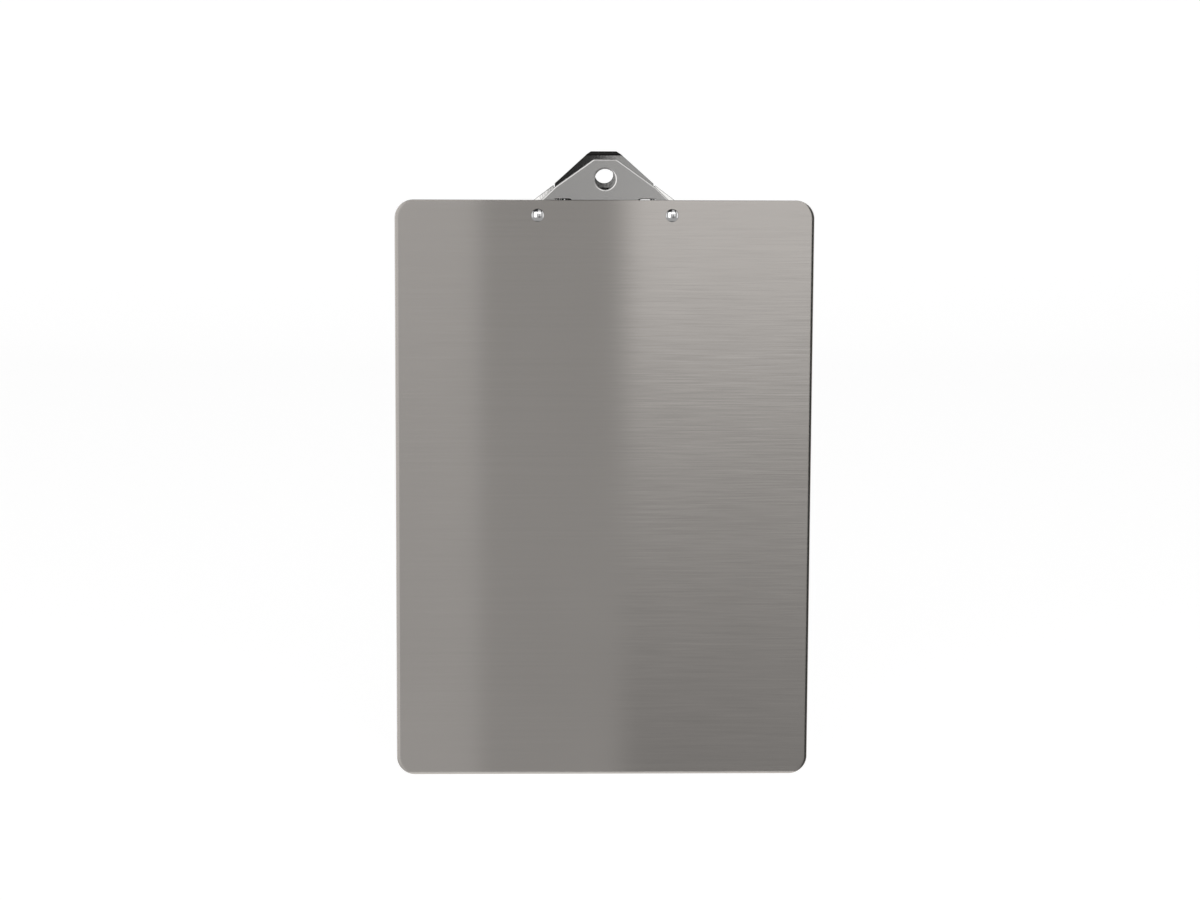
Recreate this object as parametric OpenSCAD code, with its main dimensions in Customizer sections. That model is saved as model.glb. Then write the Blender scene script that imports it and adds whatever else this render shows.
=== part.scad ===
// Flat steel clipboard with a spring lever clip.
//
// The board hangs upright from the hole in the clip's base plate. X runs across the board, Z runs up to the
// clip, and Y points from the bare back of the board to its writing side. The origin is the middle of the
// hang hole, in the plane where the base plate lies on the board.

/* [Board] */
// Width of the board
board_w = 225; // [200:1:260]
// Height of the board
board_h = 315; // [280:1:380]
// Thickness of the board's sheet
board_t = 1.0; // [0.8:0.1:2]
// Radius of the board's corners
board_corner_r = 10; // [4:1:20]

/* [Base plate] */
// Width of the base plate across its wings
base_w = 88; // [84:1:96]
// Thickness of the base plate's sheet
base_t = 1.0; // [0.8:0.1:1.4]
// Width of the flat at the top of the base plate
base_top_w = 12.2; // [10:0.2:16]
// How far the base plate stands above the board's top edge
base_rise = 21.8; // [20:0.2:26]
// Width of the base plate where its sloping sides change their slope
base_kink_w = 53.4; // [50:0.2:58]
// Height of that change of slope above the board's top edge
base_kink_rise = 7.1; // [6:0.1:9]
// Drop from the board's top edge to the corners where the wings reach their full width
wing_drop = 9.4; // [8:0.2:12]
// Drop from the board's top edge to the bottom of the base plate
base_drop = 26; // [25:0.5:32]
// Radius of the base plate's lower corners
base_corner_r = 3; // [1:0.5:6]
// Radius of the two corners at the top of the base plate
base_top_r = 1.5; // [0.5:0.5:3]
// Radius of the turns in the base plate's sloping sides
wing_corner_r = 4; // [1:0.5:6]
// Diameter of the hang hole in the base plate
hang_hole_d = 11; // [8:0.5:12]
// Height of the hang hole's middle above the board's top edge
hang_hole_rise = 11; // [9:0.5:12]

/* [Base ears] */
// Height that the lanced slot and the bend of each ear leave open above the board's top edge
slot_rise = 0.7; // [0.4:0.1:1.5]
// Width of the ears along the board
ear_w = 7; // [6:0.5:8]
// Distance from the base plate's middle to the outer end of each slot, where the ear's bend starts
slot_end_x = 27.4; // [26:0.2:30]
// Height of the pin's axis above the front of the base plate
pin_h = 6.5; // [6:0.1:8]
// How far the ears reach past the pin's axis
ear_top = 3.7; // [3:0.1:4.2]
// Radius of the ears' free corners
ear_corner_r = 2.2; // [1.5:0.1:3]
// Inside radius of every folded ear
fold_r = 0.5; // [0.3:0.1:0.8]
// Gap that the lancing cut leaves along each side of a folded ear
lance_gap = 0.2; // [0.1:0.05:0.3]

/* [Hinge pin] */
// Diameter of the pin
pin_d = 3.0; // [2.5:0.1:3.6]
// Diameter of the pin's peened heads
pin_head_d = 4.6; // [4:0.1:5.5]
// Thickness of the pin's peened heads
pin_head_t = 0.9; // [0.6:0.1:1.5]

/* [Lever] */
// Thickness of the lever's sheet
lever_t = 1.0; // [0.8:0.1:1.4]
// Angle between the lever's roof and the base plate with the jaw closed
lever_angle = 12; // [10:1:15]
// Distance from above the pin up to the bend where the handle rises out of the roof
handle_start = 6; // [5:0.2:7]
// Angle of that bend
handle_bend = 14; // [10:1:18]
// Inside radius of that bend
handle_bend_r = 2; // [1:0.5:3]
// Length of the handle from its bend to the fold of its thumb lip
handle_len = 22; // [20:0.2:26]
// Width of the handle at its neck
neck_w = 53.4; // [50:0.2:56]
// Length of the neck's straight sides past the bend
neck_len = 5.9; // [4:0.1:7]
// Width of the handle at the fold of its thumb lip
handle_tip_w = 20.6; // [18:0.2:26]
// Diameter of the hole in the handle
lever_hole_d = 9.8; // [7:0.2:10.5]
// Distance from the handle's bend up to the middle of its hole
lever_hole_len = 11; // [9:0.1:12.5]
// Radius of the lever's ears round the pin
lever_ear_r = 3.4; // [3:0.1:3.8]
// Inside radius of the thumb lip's fold
lip_fold_r = 1.0; // [0.5:0.1:2]
// Angle of the thumb lip's fold
lip_angle = 34; // [20:1:45]
// Length of the thumb lip past its fold
lip_len = 3.0; // [2:0.1:5]
// How far the thumb lip is set in from each side of the handle
lip_step = 0.7; // [0.3:0.1:1]
// Width of the straight top of the thumb lip
lip_top_w = 14; // [10:0.5:16]

/* [Jaw] */
// Width of the jaw
jaw_w = 100; // [90:1:110]
// Distance from above the pin up to the tips of the shoulders, beside the handle's neck
shoulder_tip_len = 11.5; // [9:0.1:13]
// Width of the cut between each shoulder and the neck
shear_gap = 0.4; // [0.3:0.1:1]
// Distance below the pin, along the roof, at which the shoulders reach the jaw's full width
shoulder_len = 5.9; // [5:0.1:8]
// Radius where the shoulders meet the sides of the jaw
shoulder_r = 4; // [1:0.5:8]
// Distance from above the pin down to the first bend of the jaw
roof_len = 10; // [9:0.5:12]
// Inside radius of the jaw's first bend
jaw_bend_r = 5; // [3:0.5:7]
// Angle of the jaw's first bend
jaw_bend = 48; // [40:1:55]
// Inside radius of the jaw's rolled edge
roll_r = 1.5; // [1:0.1:2]
// Angle that the jaw's rolled edge turns through
roll_angle = 100; // [80:5:120]
// Radius of the jaw's corners
jaw_corner_r = 2; // [1:0.5:3]

/* [Spring] */
// Diameter of the spring's wire
wire_d = 1.3; // [1:0.1:1.5]
// Radius of the coils at the middle of the wire
coil_r = 3.0; // [2.8:0.1:3.2]
// Gap between two turns of a coil
turn_gap = 0.5; // [0.45:0.05:0.7]
// Whole turns in each coil, past the part turn between its two legs
coil_turns = 2; // [1:1:2]
// Width of the spring over both coils
spring_w = 41; // [38:0.5:44]
// Length of the legs that press on the handle
handle_leg_len = 6.5; // [5:0.5:7]
// Radius of the bends in the wire's middle loop
loop_bend_r = 3; // [2:0.5:4]

/* [Rivets] */
// Distance from each rivet's middle to the base plate's end
rivet_inset = 8; // [6:0.5:11]
// Drop from the board's top edge to the rivets
rivet_drop = 8.2; // [7.5:0.1:10]
// Diameter of the rivets' domed heads
rivet_head_d = 7; // [6:0.1:8]
// Height of the domed heads
rivet_head_h = 1.4; // [1:0.1:2]
// Height of the straight rim under each dome
rivet_rim_h = 0.3; // [0.1:0.1:0.5]
// Diameter of the rivets' shanks
rivet_d = 3.6; // [3:0.1:4]
// Diameter of the hollow in each rivet's tail
rivet_bore_d = 2.2; // [1.6:0.1:2.4]
// Diameter of the rolled tails
rivet_tail_d = 5.6; // [5:0.1:6.5]

/* [Clearances] */
// Radial clearance of the pin in the ears
pin_fit = 0.05; // [0.02:0.01:0.1]
// Radial clearance of the rivets in their holes
rivet_fit = 0.05; // [0.02:0.01:0.1]
// Side gap between the lever's ears and the base plate's ears
ear_gap = 0.4; // [0.3:0.1:0.6]
// Gap between the base plate's ears and the underside of the lever as it swings over them
swing_gap = 0.5; // [0.3:0.1:0.8]
// Gap that the closed jaw leaves over the base plate
jaw_gap = 0.3; // [0.2:0.1:0.5]
// Gap between the spring and what it lies on
spring_gap = 0.2; // [0.1:0.05:0.3]
// Gap between the spring's wire and the rim of the hang hole
loop_hole_gap = 0.5; // [0.3:0.1:1]

/* [Hidden] */

$fn = 96;
// How far a cutting shape stands out past what it cuts
cut = 1;
// How much larger than its radius a corner's arc is drawn where it would only touch the sides
hair = 0.001;

// Heights in the row's frame
edge_z = -hang_hole_rise;
pin_z = edge_z + slot_rise - lance_gap - ear_w / 2;
pin_y = base_t + pin_h;
rivet_z = edge_z - rivet_drop;
rivet_x = base_w / 2 - rivet_inset;

// Base ears: the slot is as long as the tab that was folded out of it
ear_len = pin_h + ear_top;
base_ear_x = slot_end_x - fold_r - base_t;

// Lever ears lie inside the base ears
lever_ear_x = base_ear_x - ear_gap - lever_t;
lever_fold_x = base_ear_x - ear_gap + fold_r;
// The lever's underside passes the pin just clear of the base ears' furthest corners
ear_reach = norm([ear_w / 2 - ear_corner_r, ear_top - ear_corner_r]) + ear_corner_r;
lever_n = ear_reach + swing_gap;

// Jaw: the straight between bend and roll is as long as it takes to come down to the base plate
jaw_slope = lever_angle + jaw_bend;
roll_out_r = roll_r + lever_t;
bend_end = [lever_n - jaw_bend_r * (1 - cos(jaw_bend)), -roof_len - jaw_bend_r * sin(jaw_bend)];
bend_end_h = pin_h + bend_end[0] * cos(lever_angle) + bend_end[1] * sin(lever_angle);
jaw_straight = (bend_end_h - roll_out_r * (1 - cos(jaw_slope)) - jaw_gap) / sin(jaw_slope);
roll_start = bend_end - jaw_straight * [sin(jaw_bend), cos(jaw_bend)];
roll_middle = roll_start + roll_out_r * [cos(jaw_bend), -sin(jaw_bend)];
jaw_end = roll_middle[1] - roll_out_r;

// Handle: the outer radius of its bend, and where the thumb lip's free edge lies along it
handle_bend_out_r = handle_bend_r + lever_t;
lip_out_r = lip_fold_r + lever_t;
lip_end = handle_len + lip_out_r * sin(lip_angle) + lip_len * cos(lip_angle);

// Spring: places are given as [up the board, out from the base plate], measured from the pin's axis
wire_r = wire_d / 2;
turn_pitch = wire_d + turn_gap;
rings_per_turn = 8;
wire_sides = 6;
leg_n = lever_n - wire_r - spring_gap;
handle_leg_end = [
    handle_leg_len * cos(lever_angle) - leg_n * sin(lever_angle),
    handle_leg_len * sin(lever_angle) + leg_n * cos(lever_angle),
];
loop_end = [
    -hang_hole_d / 2 - loop_hole_gap - wire_r - pin_z,
    wire_r + spring_gap - pin_h,
];
handle_leg_turn = touch_angle(handle_leg_end, 1);
loop_leg_turn = touch_angle(loop_end, -1) + 360 * (coil_turns + 1);
coil_rings = ceil(rings_per_turn * (loop_leg_turn - handle_leg_turn) / 360);
coil_len = turn_pitch * (loop_leg_turn - handle_leg_turn) / 360;
coil_out_x = spring_w / 2 - wire_r;
coil_in_x = coil_out_x - coil_len;
// The spring floats on its pin and lies against the left ear
spring_x = spring_gap + spring_w / 2 - lever_ear_x;

// A sheet bent at round corners, seen from its edge. It starts at a place on its left face and follows its
// heading along runs, each [length, turn after it, inside radius of the turn]; left turns are positive.
function left_of(heading) = [-sin(heading), cos(heading)];
function ahead(heading) = [cos(heading), sin(heading)];
function turned(v, a) = [v[0] * cos(a) - v[1] * sin(a), v[0] * sin(a) + v[1] * cos(a)];
function bend_middle(place, heading, turn, r, t) = place + left_of(heading) * (turn > 0 ? r : -t - r);
function after_bend(place, heading, turn, r, t) =
    let (middle = bend_middle(place, heading, turn, r, t))
    middle + turned(place - middle, turn);
function bend_starts(place, heading, runs, t, i = 0) =
    i == len(runs) ? [] :
    let (at = place + ahead(heading) * runs[i][0], turn = runs[i][1], r = runs[i][2])
    concat([[at, heading]], bend_starts(after_bend(at, heading, turn, r, t), heading + turn, runs, t, i + 1));

function flip_x(p) = [-p[0], p[1], p[2]];
function reversed(list) = [for (i = [len(list) - 1 : -1 : 0]) list[i]];
function unit(v) = v / norm(v);

// The turn at which a straight leg from place p meets the coil, on one side of the pin or the other
function touch_angle(p, side) = atan2(p[1], p[0]) + side * acos(coil_r / norm(p));

// A point at x on the circle of radius r round the pin
function round_pin(x, r, turn) = [x, pin_y + r * sin(turn), pin_z + r * cos(turn)];
function beside_pin(x, place) = [x, pin_y + place[1], pin_z + place[0]];

// One coil with its two straight legs, from the middle loop out to the handle
loop_corner = beside_pin(coil_in_x, loop_end);
coil_entry = round_pin(coil_in_x, coil_r, loop_leg_turn);
leg_run = unit(coil_entry - loop_corner);
corner_middle = loop_corner + loop_bend_r * (leg_run - [1, 0, 0]);
half_spring = concat(
    [for (a = [0 : 22.5 : 90]) corner_middle - loop_bend_r * (leg_run * cos(a) - [1, 0, 0] * sin(a))],
    [
        for (i = [0 : coil_rings])
            let (share = i / coil_rings)
            round_pin(
                coil_in_x + share * coil_len,
                coil_r,
                loop_leg_turn + share * (handle_leg_turn - loop_leg_turn)
            )
    ],
    [beside_pin(coil_out_x, handle_leg_end)]
);
spring_path = concat(reversed([for (p = half_spring) flip_x(p)]), half_spring);

// Least gap between two stretches of the wire that are at least three quarters of a turn apart
apart = 6;
spring_self_gap = min([
    for (i = [0 : len(spring_path) - 1], j = [i + apart : 1 : len(spring_path) - 1])
        norm(spring_path[i] - spring_path[j])
]) - wire_d;
echo(str("least gap between the spring's turns: ", spring_self_gap, " mm"));

// Steps and normals of a path: each normal is the last one, turned as little as the path allows
function path_runs(p) = [
    for (i = [0 : len(p) - 1]) unit(p[min(i + 1, len(p) - 1)] - p[max(i - 1, 0)])
];
function squared(v, run) = unit(v - run * (v * run));
function path_normals(runs, first) = [
    for (i = 0, v = squared(first, runs[0]); i < len(runs); i = i + 1, v = squared(v, runs[min(i, len(runs) - 1)])) v
];

// A round wire along a path, as one closed mesh
module wire_along(path, r, sides) {
    runs = path_runs(path);
    normals = path_normals(runs, [0, 1, 0]);
    rings = len(path);
    points = [
        for (i = [0 : rings - 1], k = [0 : sides - 1])
            let (a = 360 * k / sides)
            path[i] + r * (cos(a) * normals[i] + sin(a) * cross(runs[i], normals[i]))
    ];
    walls = [
        for (i = [0 : rings - 2], k = [0 : sides - 1], half = [0, 1])
            let (a = i * sides + k, b = i * sides + (k + 1) % sides)
            half == 0 ? [a, a + sides, b + sides] : [a, b + sides, b]
    ];
    first_cap = [for (k = [1 : sides - 2]) [0, k, k + 1]];
    last = (rings - 1) * sides;
    last_cap = [for (k = [1 : sides - 2]) [last, last + k + 1, last + k]];
    polyhedron(points, concat(walls, first_cap, last_cap), convexity = 10);
}

// Tangent points and arc of one corner, given as [x, y, radius], between its neighbours
function corner_arc(before, corner, after) =
    let (
        c = [corner[0], corner[1]],
        a = unit([before[0], before[1]] - c),
        b = unit([after[0], after[1]] - c),
        half = acos(a * b) / 2,
        reach = corner[2] / tan(half)
    )
    [c + a * reach, c + b * reach, c + unit(a + b) * corner[2] / sin(half), cross(b, a) > 0];

// An outline with its corners, listed anticlockwise, rounded to true arcs of their radius and the spare
module rounded_outline(corners, spare = 0) {
    count = len(corners);
    arcs = [
        for (i = [0 : count - 1])
            corner_arc(corners[(i + count - 1) % count], corners[i], corners[(i + 1) % count])
    ];
    difference() {
        polygon([for (arc = arcs, k = [0, 1]) arc[k]]);
        for (i = [0 : count - 1]) {
            if (!arcs[i][3]) translate(arcs[i][2]) circle(corners[i][2] + spare);
        }
    }
    for (i = [0 : count - 1]) {
        if (arcs[i][3]) translate(arcs[i][2]) circle(corners[i][2] + spare);
    }
}

// The whole outline of a shape whose right half is listed from the bottom up
function both_sides(right) = concat(right, [for (p = reversed(right)) [-p[0], p[1], p[2]]]);

// Part of a ring between two angles, up to half a turn apart
module ring_part(inner, outer, from, to) {
    far = 2 * outer;
    middle = (from + to) / 2;
    intersection() {
        difference() {
            circle(outer);
            circle(inner);
        }
        polygon([[0, 0], for (a = [from, middle, to]) far * [cos(a), sin(a)]]);
    }
}

module bent_sheet(t, place, heading, runs) {
    starts = bend_starts(place, heading, runs, t);
    last = len(runs) - 1;
    bends = [for (i = [0 : 1 : last - 1]) concat(starts[i], [runs[i][1], runs[i][2]])];
    left_face = concat([place], [
        for (bend = bends) each [bend[0], after_bend(bend[0], bend[1], bend[2], bend[3], t)]
    ], [starts[last][0]]);
    right_face = concat([place - t * left_of(heading)], [
        for (bend = bends)
            let (after = after_bend(bend[0], bend[1], bend[2], bend[3], t))
            each [bend[0] - t * left_of(bend[1]), after - t * left_of(bend[1] + bend[2])]
    ], [starts[last][0] - t * left_of(starts[last][1])]);
    difference() {
        polygon(concat(left_face, reversed(right_face)));
        for (bend = bends) translate(bend_middle(bend[0], bend[1], bend[2], bend[3], t)) circle(bend[3]);
    }
    for (bend = bends) {
        from = bend[1] + (bend[2] > 0 ? -90 : 90);
        translate(bend_middle(bend[0], bend[1], bend[2], bend[3], t))
            ring_part(bend[3], bend[3] + t, min(from, from + bend[2]), max(from, from + bend[2]));
    }
}

// Stands a flat outline, drawn as [across, up], between two depths
module upright(from, to) {
    translate([0, to, 0]) rotate([90, 0, 0]) linear_extrude(to - from) children();
}

// Carries a side profile, drawn as [out, up], across the clip between two places
module across(from, to) {
    translate([from, 0, 0]) rotate([90, 0, 90]) linear_extrude(to - from) children();
}

module pin_hole(x, y, z, d) {
    translate([x, y, z]) rotate([0, 90, 0]) cylinder(d = d, h = 4 * lever_t, center = true);
}

// Both sides of the clip
module mirrored() {
    children();
    mirror([1, 0, 0]) children();
}

module board_panel() color([0.60, 0.585, 0.565]) {
    half_w = board_w / 2;
    bottom_z = edge_z - board_h;
    difference() {
        upright(-board_t, 0) rounded_outline(both_sides([
            [half_w, bottom_z, board_corner_r],
            [half_w, edge_z, board_corner_r],
        ]));
        rivet_holes();
    }
}

module rivet_holes() {
    mirrored() translate([rivet_x, 0, rivet_z]) rotate([90, 0, 0])
        cylinder(d = rivet_d + 2 * rivet_fit, h = 4 * (board_t + base_t), center = true);
}

// A tab lanced out of a sheet and folded up square to it, carried along Z. The sheet's far face is at y = 0,
// and x is where the fold starts. Its outline is cut from it later.
module folded_tab(x, t, leg_end, width) {
    linear_extrude(width + 2 * cut, center = true)
        bent_sheet(t, [x + t, 0], 180, [[t, -90, fold_r], [leg_end - t - fold_r, 0, 0]]);
}

module clip_base() color([0.58, 0.58, 0.575]) {
    slot_in_x = slot_end_x - ear_len;
    difference() {
        upright(0, base_t) rounded_outline(both_sides([
            [base_w / 2, edge_z - base_drop, base_corner_r],
            [base_w / 2, edge_z - wing_drop, wing_corner_r],
            [base_kink_w / 2, edge_z + base_kink_rise, wing_corner_r],
            [base_top_w / 2, edge_z + base_rise, base_top_r],
        ]), hair);
        rotate([90, 0, 0]) cylinder(d = hang_hole_d, h = 4 * base_t, center = true);
        rivet_holes();
        mirrored() upright(-cut, base_t + cut) translate([0, pin_z]) ear_slot(slot_in_x, slot_end_x);
    }
    mirrored() difference() {
        intersection() {
            translate([0, 0, pin_z]) folded_tab(slot_end_x, base_t, pin_y + ear_top, ear_w);
            across(base_ear_x - cut, slot_end_x + base_t + cut) translate([0, pin_z]) ear_side();
        }
        pin_hole(base_ear_x, pin_y, pin_z, pin_d + 2 * pin_fit);
    }
}

// The slot that a base ear leaves, from its free end to its fold
module ear_slot(from, to) {
    half = ear_w / 2 + lance_gap;
    rounded_outline([
        [to, -half, lance_gap / 2],
        [to, half, lance_gap / 2],
        [from, half, ear_corner_r],
        [from, -half, ear_corner_r],
    ]);
}

// A base ear seen from the side, drawn as [out from the board, up]
module ear_side() {
    rounded_outline([
        [-cut, -ear_w / 2, fold_r / 4],
        [pin_y + ear_top, -ear_w / 2, ear_corner_r],
        [pin_y + ear_top, ear_w / 2, ear_corner_r],
        [-cut, ear_w / 2, fold_r / 4],
    ]);
}

// The side profile of the roof and the jaw, drawn as [off the pin, up the roof]
module jaw_profile() {
    bent_sheet(lever_t, [lever_n + lever_t, shoulder_tip_len], -90, [
        [shoulder_tip_len + roof_len, -jaw_bend, jaw_bend_r],
        [jaw_straight, roll_angle, roll_r],
        [0, 0, 0],
    ]);
}

// The plan of the roof and the jaw, drawn as [across, up the roof]
module jaw_plan() {
    shoulder_x = neck_w / 2 + shear_gap;
    rounded_outline(both_sides([
        [jaw_w / 2, jaw_end, jaw_corner_r],
        [jaw_w / 2, -shoulder_len, shoulder_r],
        [shoulder_x, shoulder_tip_len, shear_gap],
        [shoulder_x, handle_start, shear_gap / 2],
    ]));
}

// The side profile of the handle and its thumb lip, drawn as [off the pin, up the roof]
module handle_profile() {
    bent_sheet(lever_t, [lever_n, 0], 90, [
        [handle_start, -handle_bend, handle_bend_r],
        [handle_len, -lip_angle, lip_fold_r],
        [lip_len, 0, 0],
    ]);
}

// The plan of the handle, drawn as [across, up the handle from its bend]
module handle_plan() {
    tip_x = handle_tip_w / 2;
    rounded_outline(both_sides([
        [neck_w / 2, -2 * handle_start, lip_fold_r],
        [neck_w / 2, neck_len, shear_gap],
        [tip_x, handle_len, lip_step / 2],
        [tip_x - lip_step, handle_len + lip_step, lip_step / 2],
        [lip_top_w / 2, lip_end, lip_fold_r],
    ]));
}

// Carries what is drawn in the handle's own plane up to where the handle leaves its bend
module on_handle() {
    translate([0, lever_n + handle_bend_out_r, handle_start]) rotate([-handle_bend, 0, 0])
        translate([0, -handle_bend_out_r, 0]) children();
}

// An ear folded down out of the lever's roof, with the slot that it leaves
module lever_slot() {
    tab_len = lever_n + lever_ear_r;
    half = lever_ear_r + lance_gap;
    upright(lever_n - cut, lever_n + lever_t + cut) {
        translate([lever_fold_x - tab_len + lever_ear_r, 0]) circle(half);
        translate([lever_fold_x - tab_len + lever_ear_r, -half]) square([tab_len - lever_ear_r, 2 * half]);
    }
}

module lever_ear() {
    intersection() {
        translate([0, lever_n + lever_t, 0]) mirror([0, 1, 0])
            folded_tab(lever_fold_x, lever_t, lever_n + lever_t + lever_ear_r, 2 * lever_ear_r);
        across(lever_ear_x - cut, lever_fold_x + lever_t + cut) {
            circle(lever_ear_r);
            translate([0, -lever_ear_r]) square([lever_n + lever_t, 2 * lever_ear_r]);
        }
    }
}

module lever() color([0.55, 0.55, 0.55]) {
    far = roof_len + handle_len;
    translate([0, pin_y, pin_z]) rotate([-lever_angle, 0, 0]) difference() {
        union() {
            difference() {
                union() {
                    intersection() {
                        across(-jaw_w / 2, jaw_w / 2) jaw_profile();
                        upright(-far, far) jaw_plan();
                    }
                    intersection() {
                        across(-neck_w / 2, neck_w / 2) handle_profile();
                        on_handle() upright(-far, far) handle_plan();
                    }
                }
                mirrored() lever_slot();
                on_handle() translate([0, 0, lever_hole_len]) rotate([90, 0, 0])
                    cylinder(d = lever_hole_d, h = 4 * lever_t, center = true);
            }
            mirrored() lever_ear();
        }
        mirrored() pin_hole(lever_ear_x, 0, 0, pin_d + 2 * pin_fit);
    }
}

module hinge_pin() color([0.66, 0.66, 0.65]) {
    head_x = base_ear_x + base_t + pin_fit;
    translate([0, pin_y, pin_z]) rotate([0, 90, 0]) {
        cylinder(d = pin_d, h = 2 * head_x, center = true);
        for (side = [0, 180]) rotate([side, 0, 0]) translate([0, 0, head_x]) peened_head();
    }
}

// A hammered head: a short drum with a low dome on it
module peened_head() {
    dome_h = pin_head_t / 2;
    dome_r = (pow(pin_head_d / 2, 2) + pow(dome_h, 2)) / 2 / dome_h;
    cylinder(d = pin_head_d, h = pin_head_t - dome_h);
    intersection() {
        cylinder(d = pin_head_d, h = pin_head_t);
        translate([0, 0, pin_head_t - dome_r]) sphere(dome_r);
    }
}

module torsion_spring() color([0.50, 0.50, 0.49]) {
    translate([spring_x, 0, 0]) wire_along(spring_path, wire_r, wire_sides);
}

// A semi-tubular rivet: domed head on the board's back, tail rolled over on the base plate
module rivet(x) color([0.78, 0.78, 0.77]) {
    dome_h = rivet_head_h - rivet_rim_h;
    dome_r = (pow(rivet_head_d / 2, 2) + pow(dome_h, 2)) / 2 / dome_h;
    tail_r = (rivet_tail_d - rivet_bore_d) / 4;
    tail_y = base_t + tail_r;
    translate([x, 0, rivet_z]) rotate([-90, 0, 0]) difference() {
        union() {
            translate([0, 0, -board_t - rivet_rim_h]) cylinder(d = rivet_head_d, h = rivet_rim_h);
            intersection() {
                translate([0, 0, -board_t - rivet_head_h]) cylinder(d = rivet_head_d, h = rivet_head_h);
                translate([0, 0, -board_t - rivet_head_h + dome_r]) sphere(dome_r);
            }
            translate([0, 0, -board_t - rivet_rim_h]) cylinder(d = rivet_d, h = board_t + rivet_rim_h + tail_y);
            translate([0, 0, tail_y]) rotate_extrude()
                translate([rivet_bore_d / 2 + tail_r, 0]) circle(tail_r);
        }
        translate([0, 0, -board_t / 2]) cylinder(d = rivet_bore_d, h = board_t + tail_y + 2 * tail_r);
    }
}

module rivet_left() {
    rivet(-rivet_x);
}

module rivet_right() {
    rivet(rivet_x);
}

board_panel();
clip_base();
lever();
hinge_pin();
torsion_spring();
rivet_left();
rivet_right();
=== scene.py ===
# %% [markdown]
# # A flat steel clipboard with a sprung lever clip
# The object is one thin sheet of brushed stainless steel, seen from its bare back. A lever clip is riveted to the
# middle of its top edge: a base plate with a hang hole, a lever pressed from one sheet, a pin and a spring. Each
# piece is pressed, turned or coiled in real life, so each is made here the way its metal is made: a flat pattern
# with rounded edges that is folded, a profile that is turned, a wire that is carried along a path.
#
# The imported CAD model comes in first. It fixes where everything is, and nothing below moves it.

import math

import bmesh
import bpy
import numpy as np
from mathutils import Matrix, Vector
from mathutils.geometry import tessellate_polygon


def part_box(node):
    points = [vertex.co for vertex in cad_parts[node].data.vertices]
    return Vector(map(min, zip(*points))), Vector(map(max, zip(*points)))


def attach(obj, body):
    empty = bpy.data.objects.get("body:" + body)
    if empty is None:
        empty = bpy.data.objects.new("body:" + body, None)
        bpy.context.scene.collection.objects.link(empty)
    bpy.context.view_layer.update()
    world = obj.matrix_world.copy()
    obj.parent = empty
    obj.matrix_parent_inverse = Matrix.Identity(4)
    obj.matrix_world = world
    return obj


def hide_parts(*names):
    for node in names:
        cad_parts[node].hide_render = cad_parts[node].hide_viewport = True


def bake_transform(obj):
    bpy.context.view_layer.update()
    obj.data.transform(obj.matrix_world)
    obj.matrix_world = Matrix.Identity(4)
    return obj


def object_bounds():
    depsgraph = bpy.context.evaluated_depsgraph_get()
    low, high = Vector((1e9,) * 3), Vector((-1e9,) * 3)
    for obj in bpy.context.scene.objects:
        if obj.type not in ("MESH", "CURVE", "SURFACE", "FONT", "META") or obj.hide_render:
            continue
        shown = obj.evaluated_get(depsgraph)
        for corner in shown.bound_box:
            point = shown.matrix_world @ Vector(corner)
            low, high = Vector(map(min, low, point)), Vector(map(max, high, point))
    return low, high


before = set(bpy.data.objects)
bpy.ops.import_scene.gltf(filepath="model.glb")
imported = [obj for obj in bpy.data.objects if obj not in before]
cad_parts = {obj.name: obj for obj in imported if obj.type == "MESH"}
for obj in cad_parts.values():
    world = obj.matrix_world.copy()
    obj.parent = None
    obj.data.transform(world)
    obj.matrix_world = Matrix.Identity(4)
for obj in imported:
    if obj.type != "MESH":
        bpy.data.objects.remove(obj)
cad_box = [list(corner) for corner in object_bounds()]
print("CAD nodes:", sorted(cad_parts))
print("CAD box in mm:", np.round(np.array(cad_box) * 1000, 2).tolist())

# %% [markdown]
# ## The camera
# The photograph was taken with a long lens from a little above, so the board's sides run almost parallel. The place
# and lens were worked out from where the board's edges, rivets and hang hole lie in the picture. They are written as
# an azimuth, an elevation and a distance from a point on the board, which are easy to read and to change.

# %% Camera
AZIMUTH, ELEVATION, ROLL = (math.radians(a) for a in (1.7287, 8.3388, 0.2826))
DISTANCE = 1.70507
AIM = Vector((-0.002006, 0.0, -0.14630))
SENSOR_MM = 36.0
FOCAL_SHARE = 3148.7 / 1200

ahead = Vector((
    math.sin(AZIMUTH) * math.cos(ELEVATION),
    math.cos(AZIMUTH) * math.cos(ELEVATION),
    -math.sin(ELEVATION),
))
level_right = Vector((math.cos(AZIMUTH), -math.sin(AZIMUTH), 0))
level_up = level_right.cross(ahead)
right = level_right * math.cos(ROLL) + level_up * math.sin(ROLL)
up = level_up * math.cos(ROLL) - level_right * math.sin(ROLL)

camera = bpy.data.objects.new("camera", bpy.data.cameras.new("camera"))
bpy.context.scene.collection.objects.link(camera)
camera.data.sensor_width = SENSOR_MM
camera.data.lens = SENSOR_MM * FOCAL_SHARE
camera.data.clip_start = 0.01
turn = Matrix((right, up, -ahead)).transposed().to_4x4()
camera.matrix_world = Matrix.Translation(AIM - DISTANCE * ahead) @ turn
bpy.context.scene.camera = camera
bpy.context.scene.view_settings.view_transform = "Standard"
print("Camera at", [round(v, 3) for v in camera.location], "with a", round(camera.data.lens, 1), "mm lens")

# %% [markdown]
# ## Grids of points
# Most pieces are surfaces on a grid: rows of points, joined by four-sided faces. Building the whole grid as one
# array keeps it quick, and handing exact normals to Blender makes a thin rounded edge catch the light like real
# metal, even with few faces. Everything is worked out in millimetres, as in the CAD, and goes to metres at the end.

# %% Mesh helpers
MM = 0.001


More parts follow.
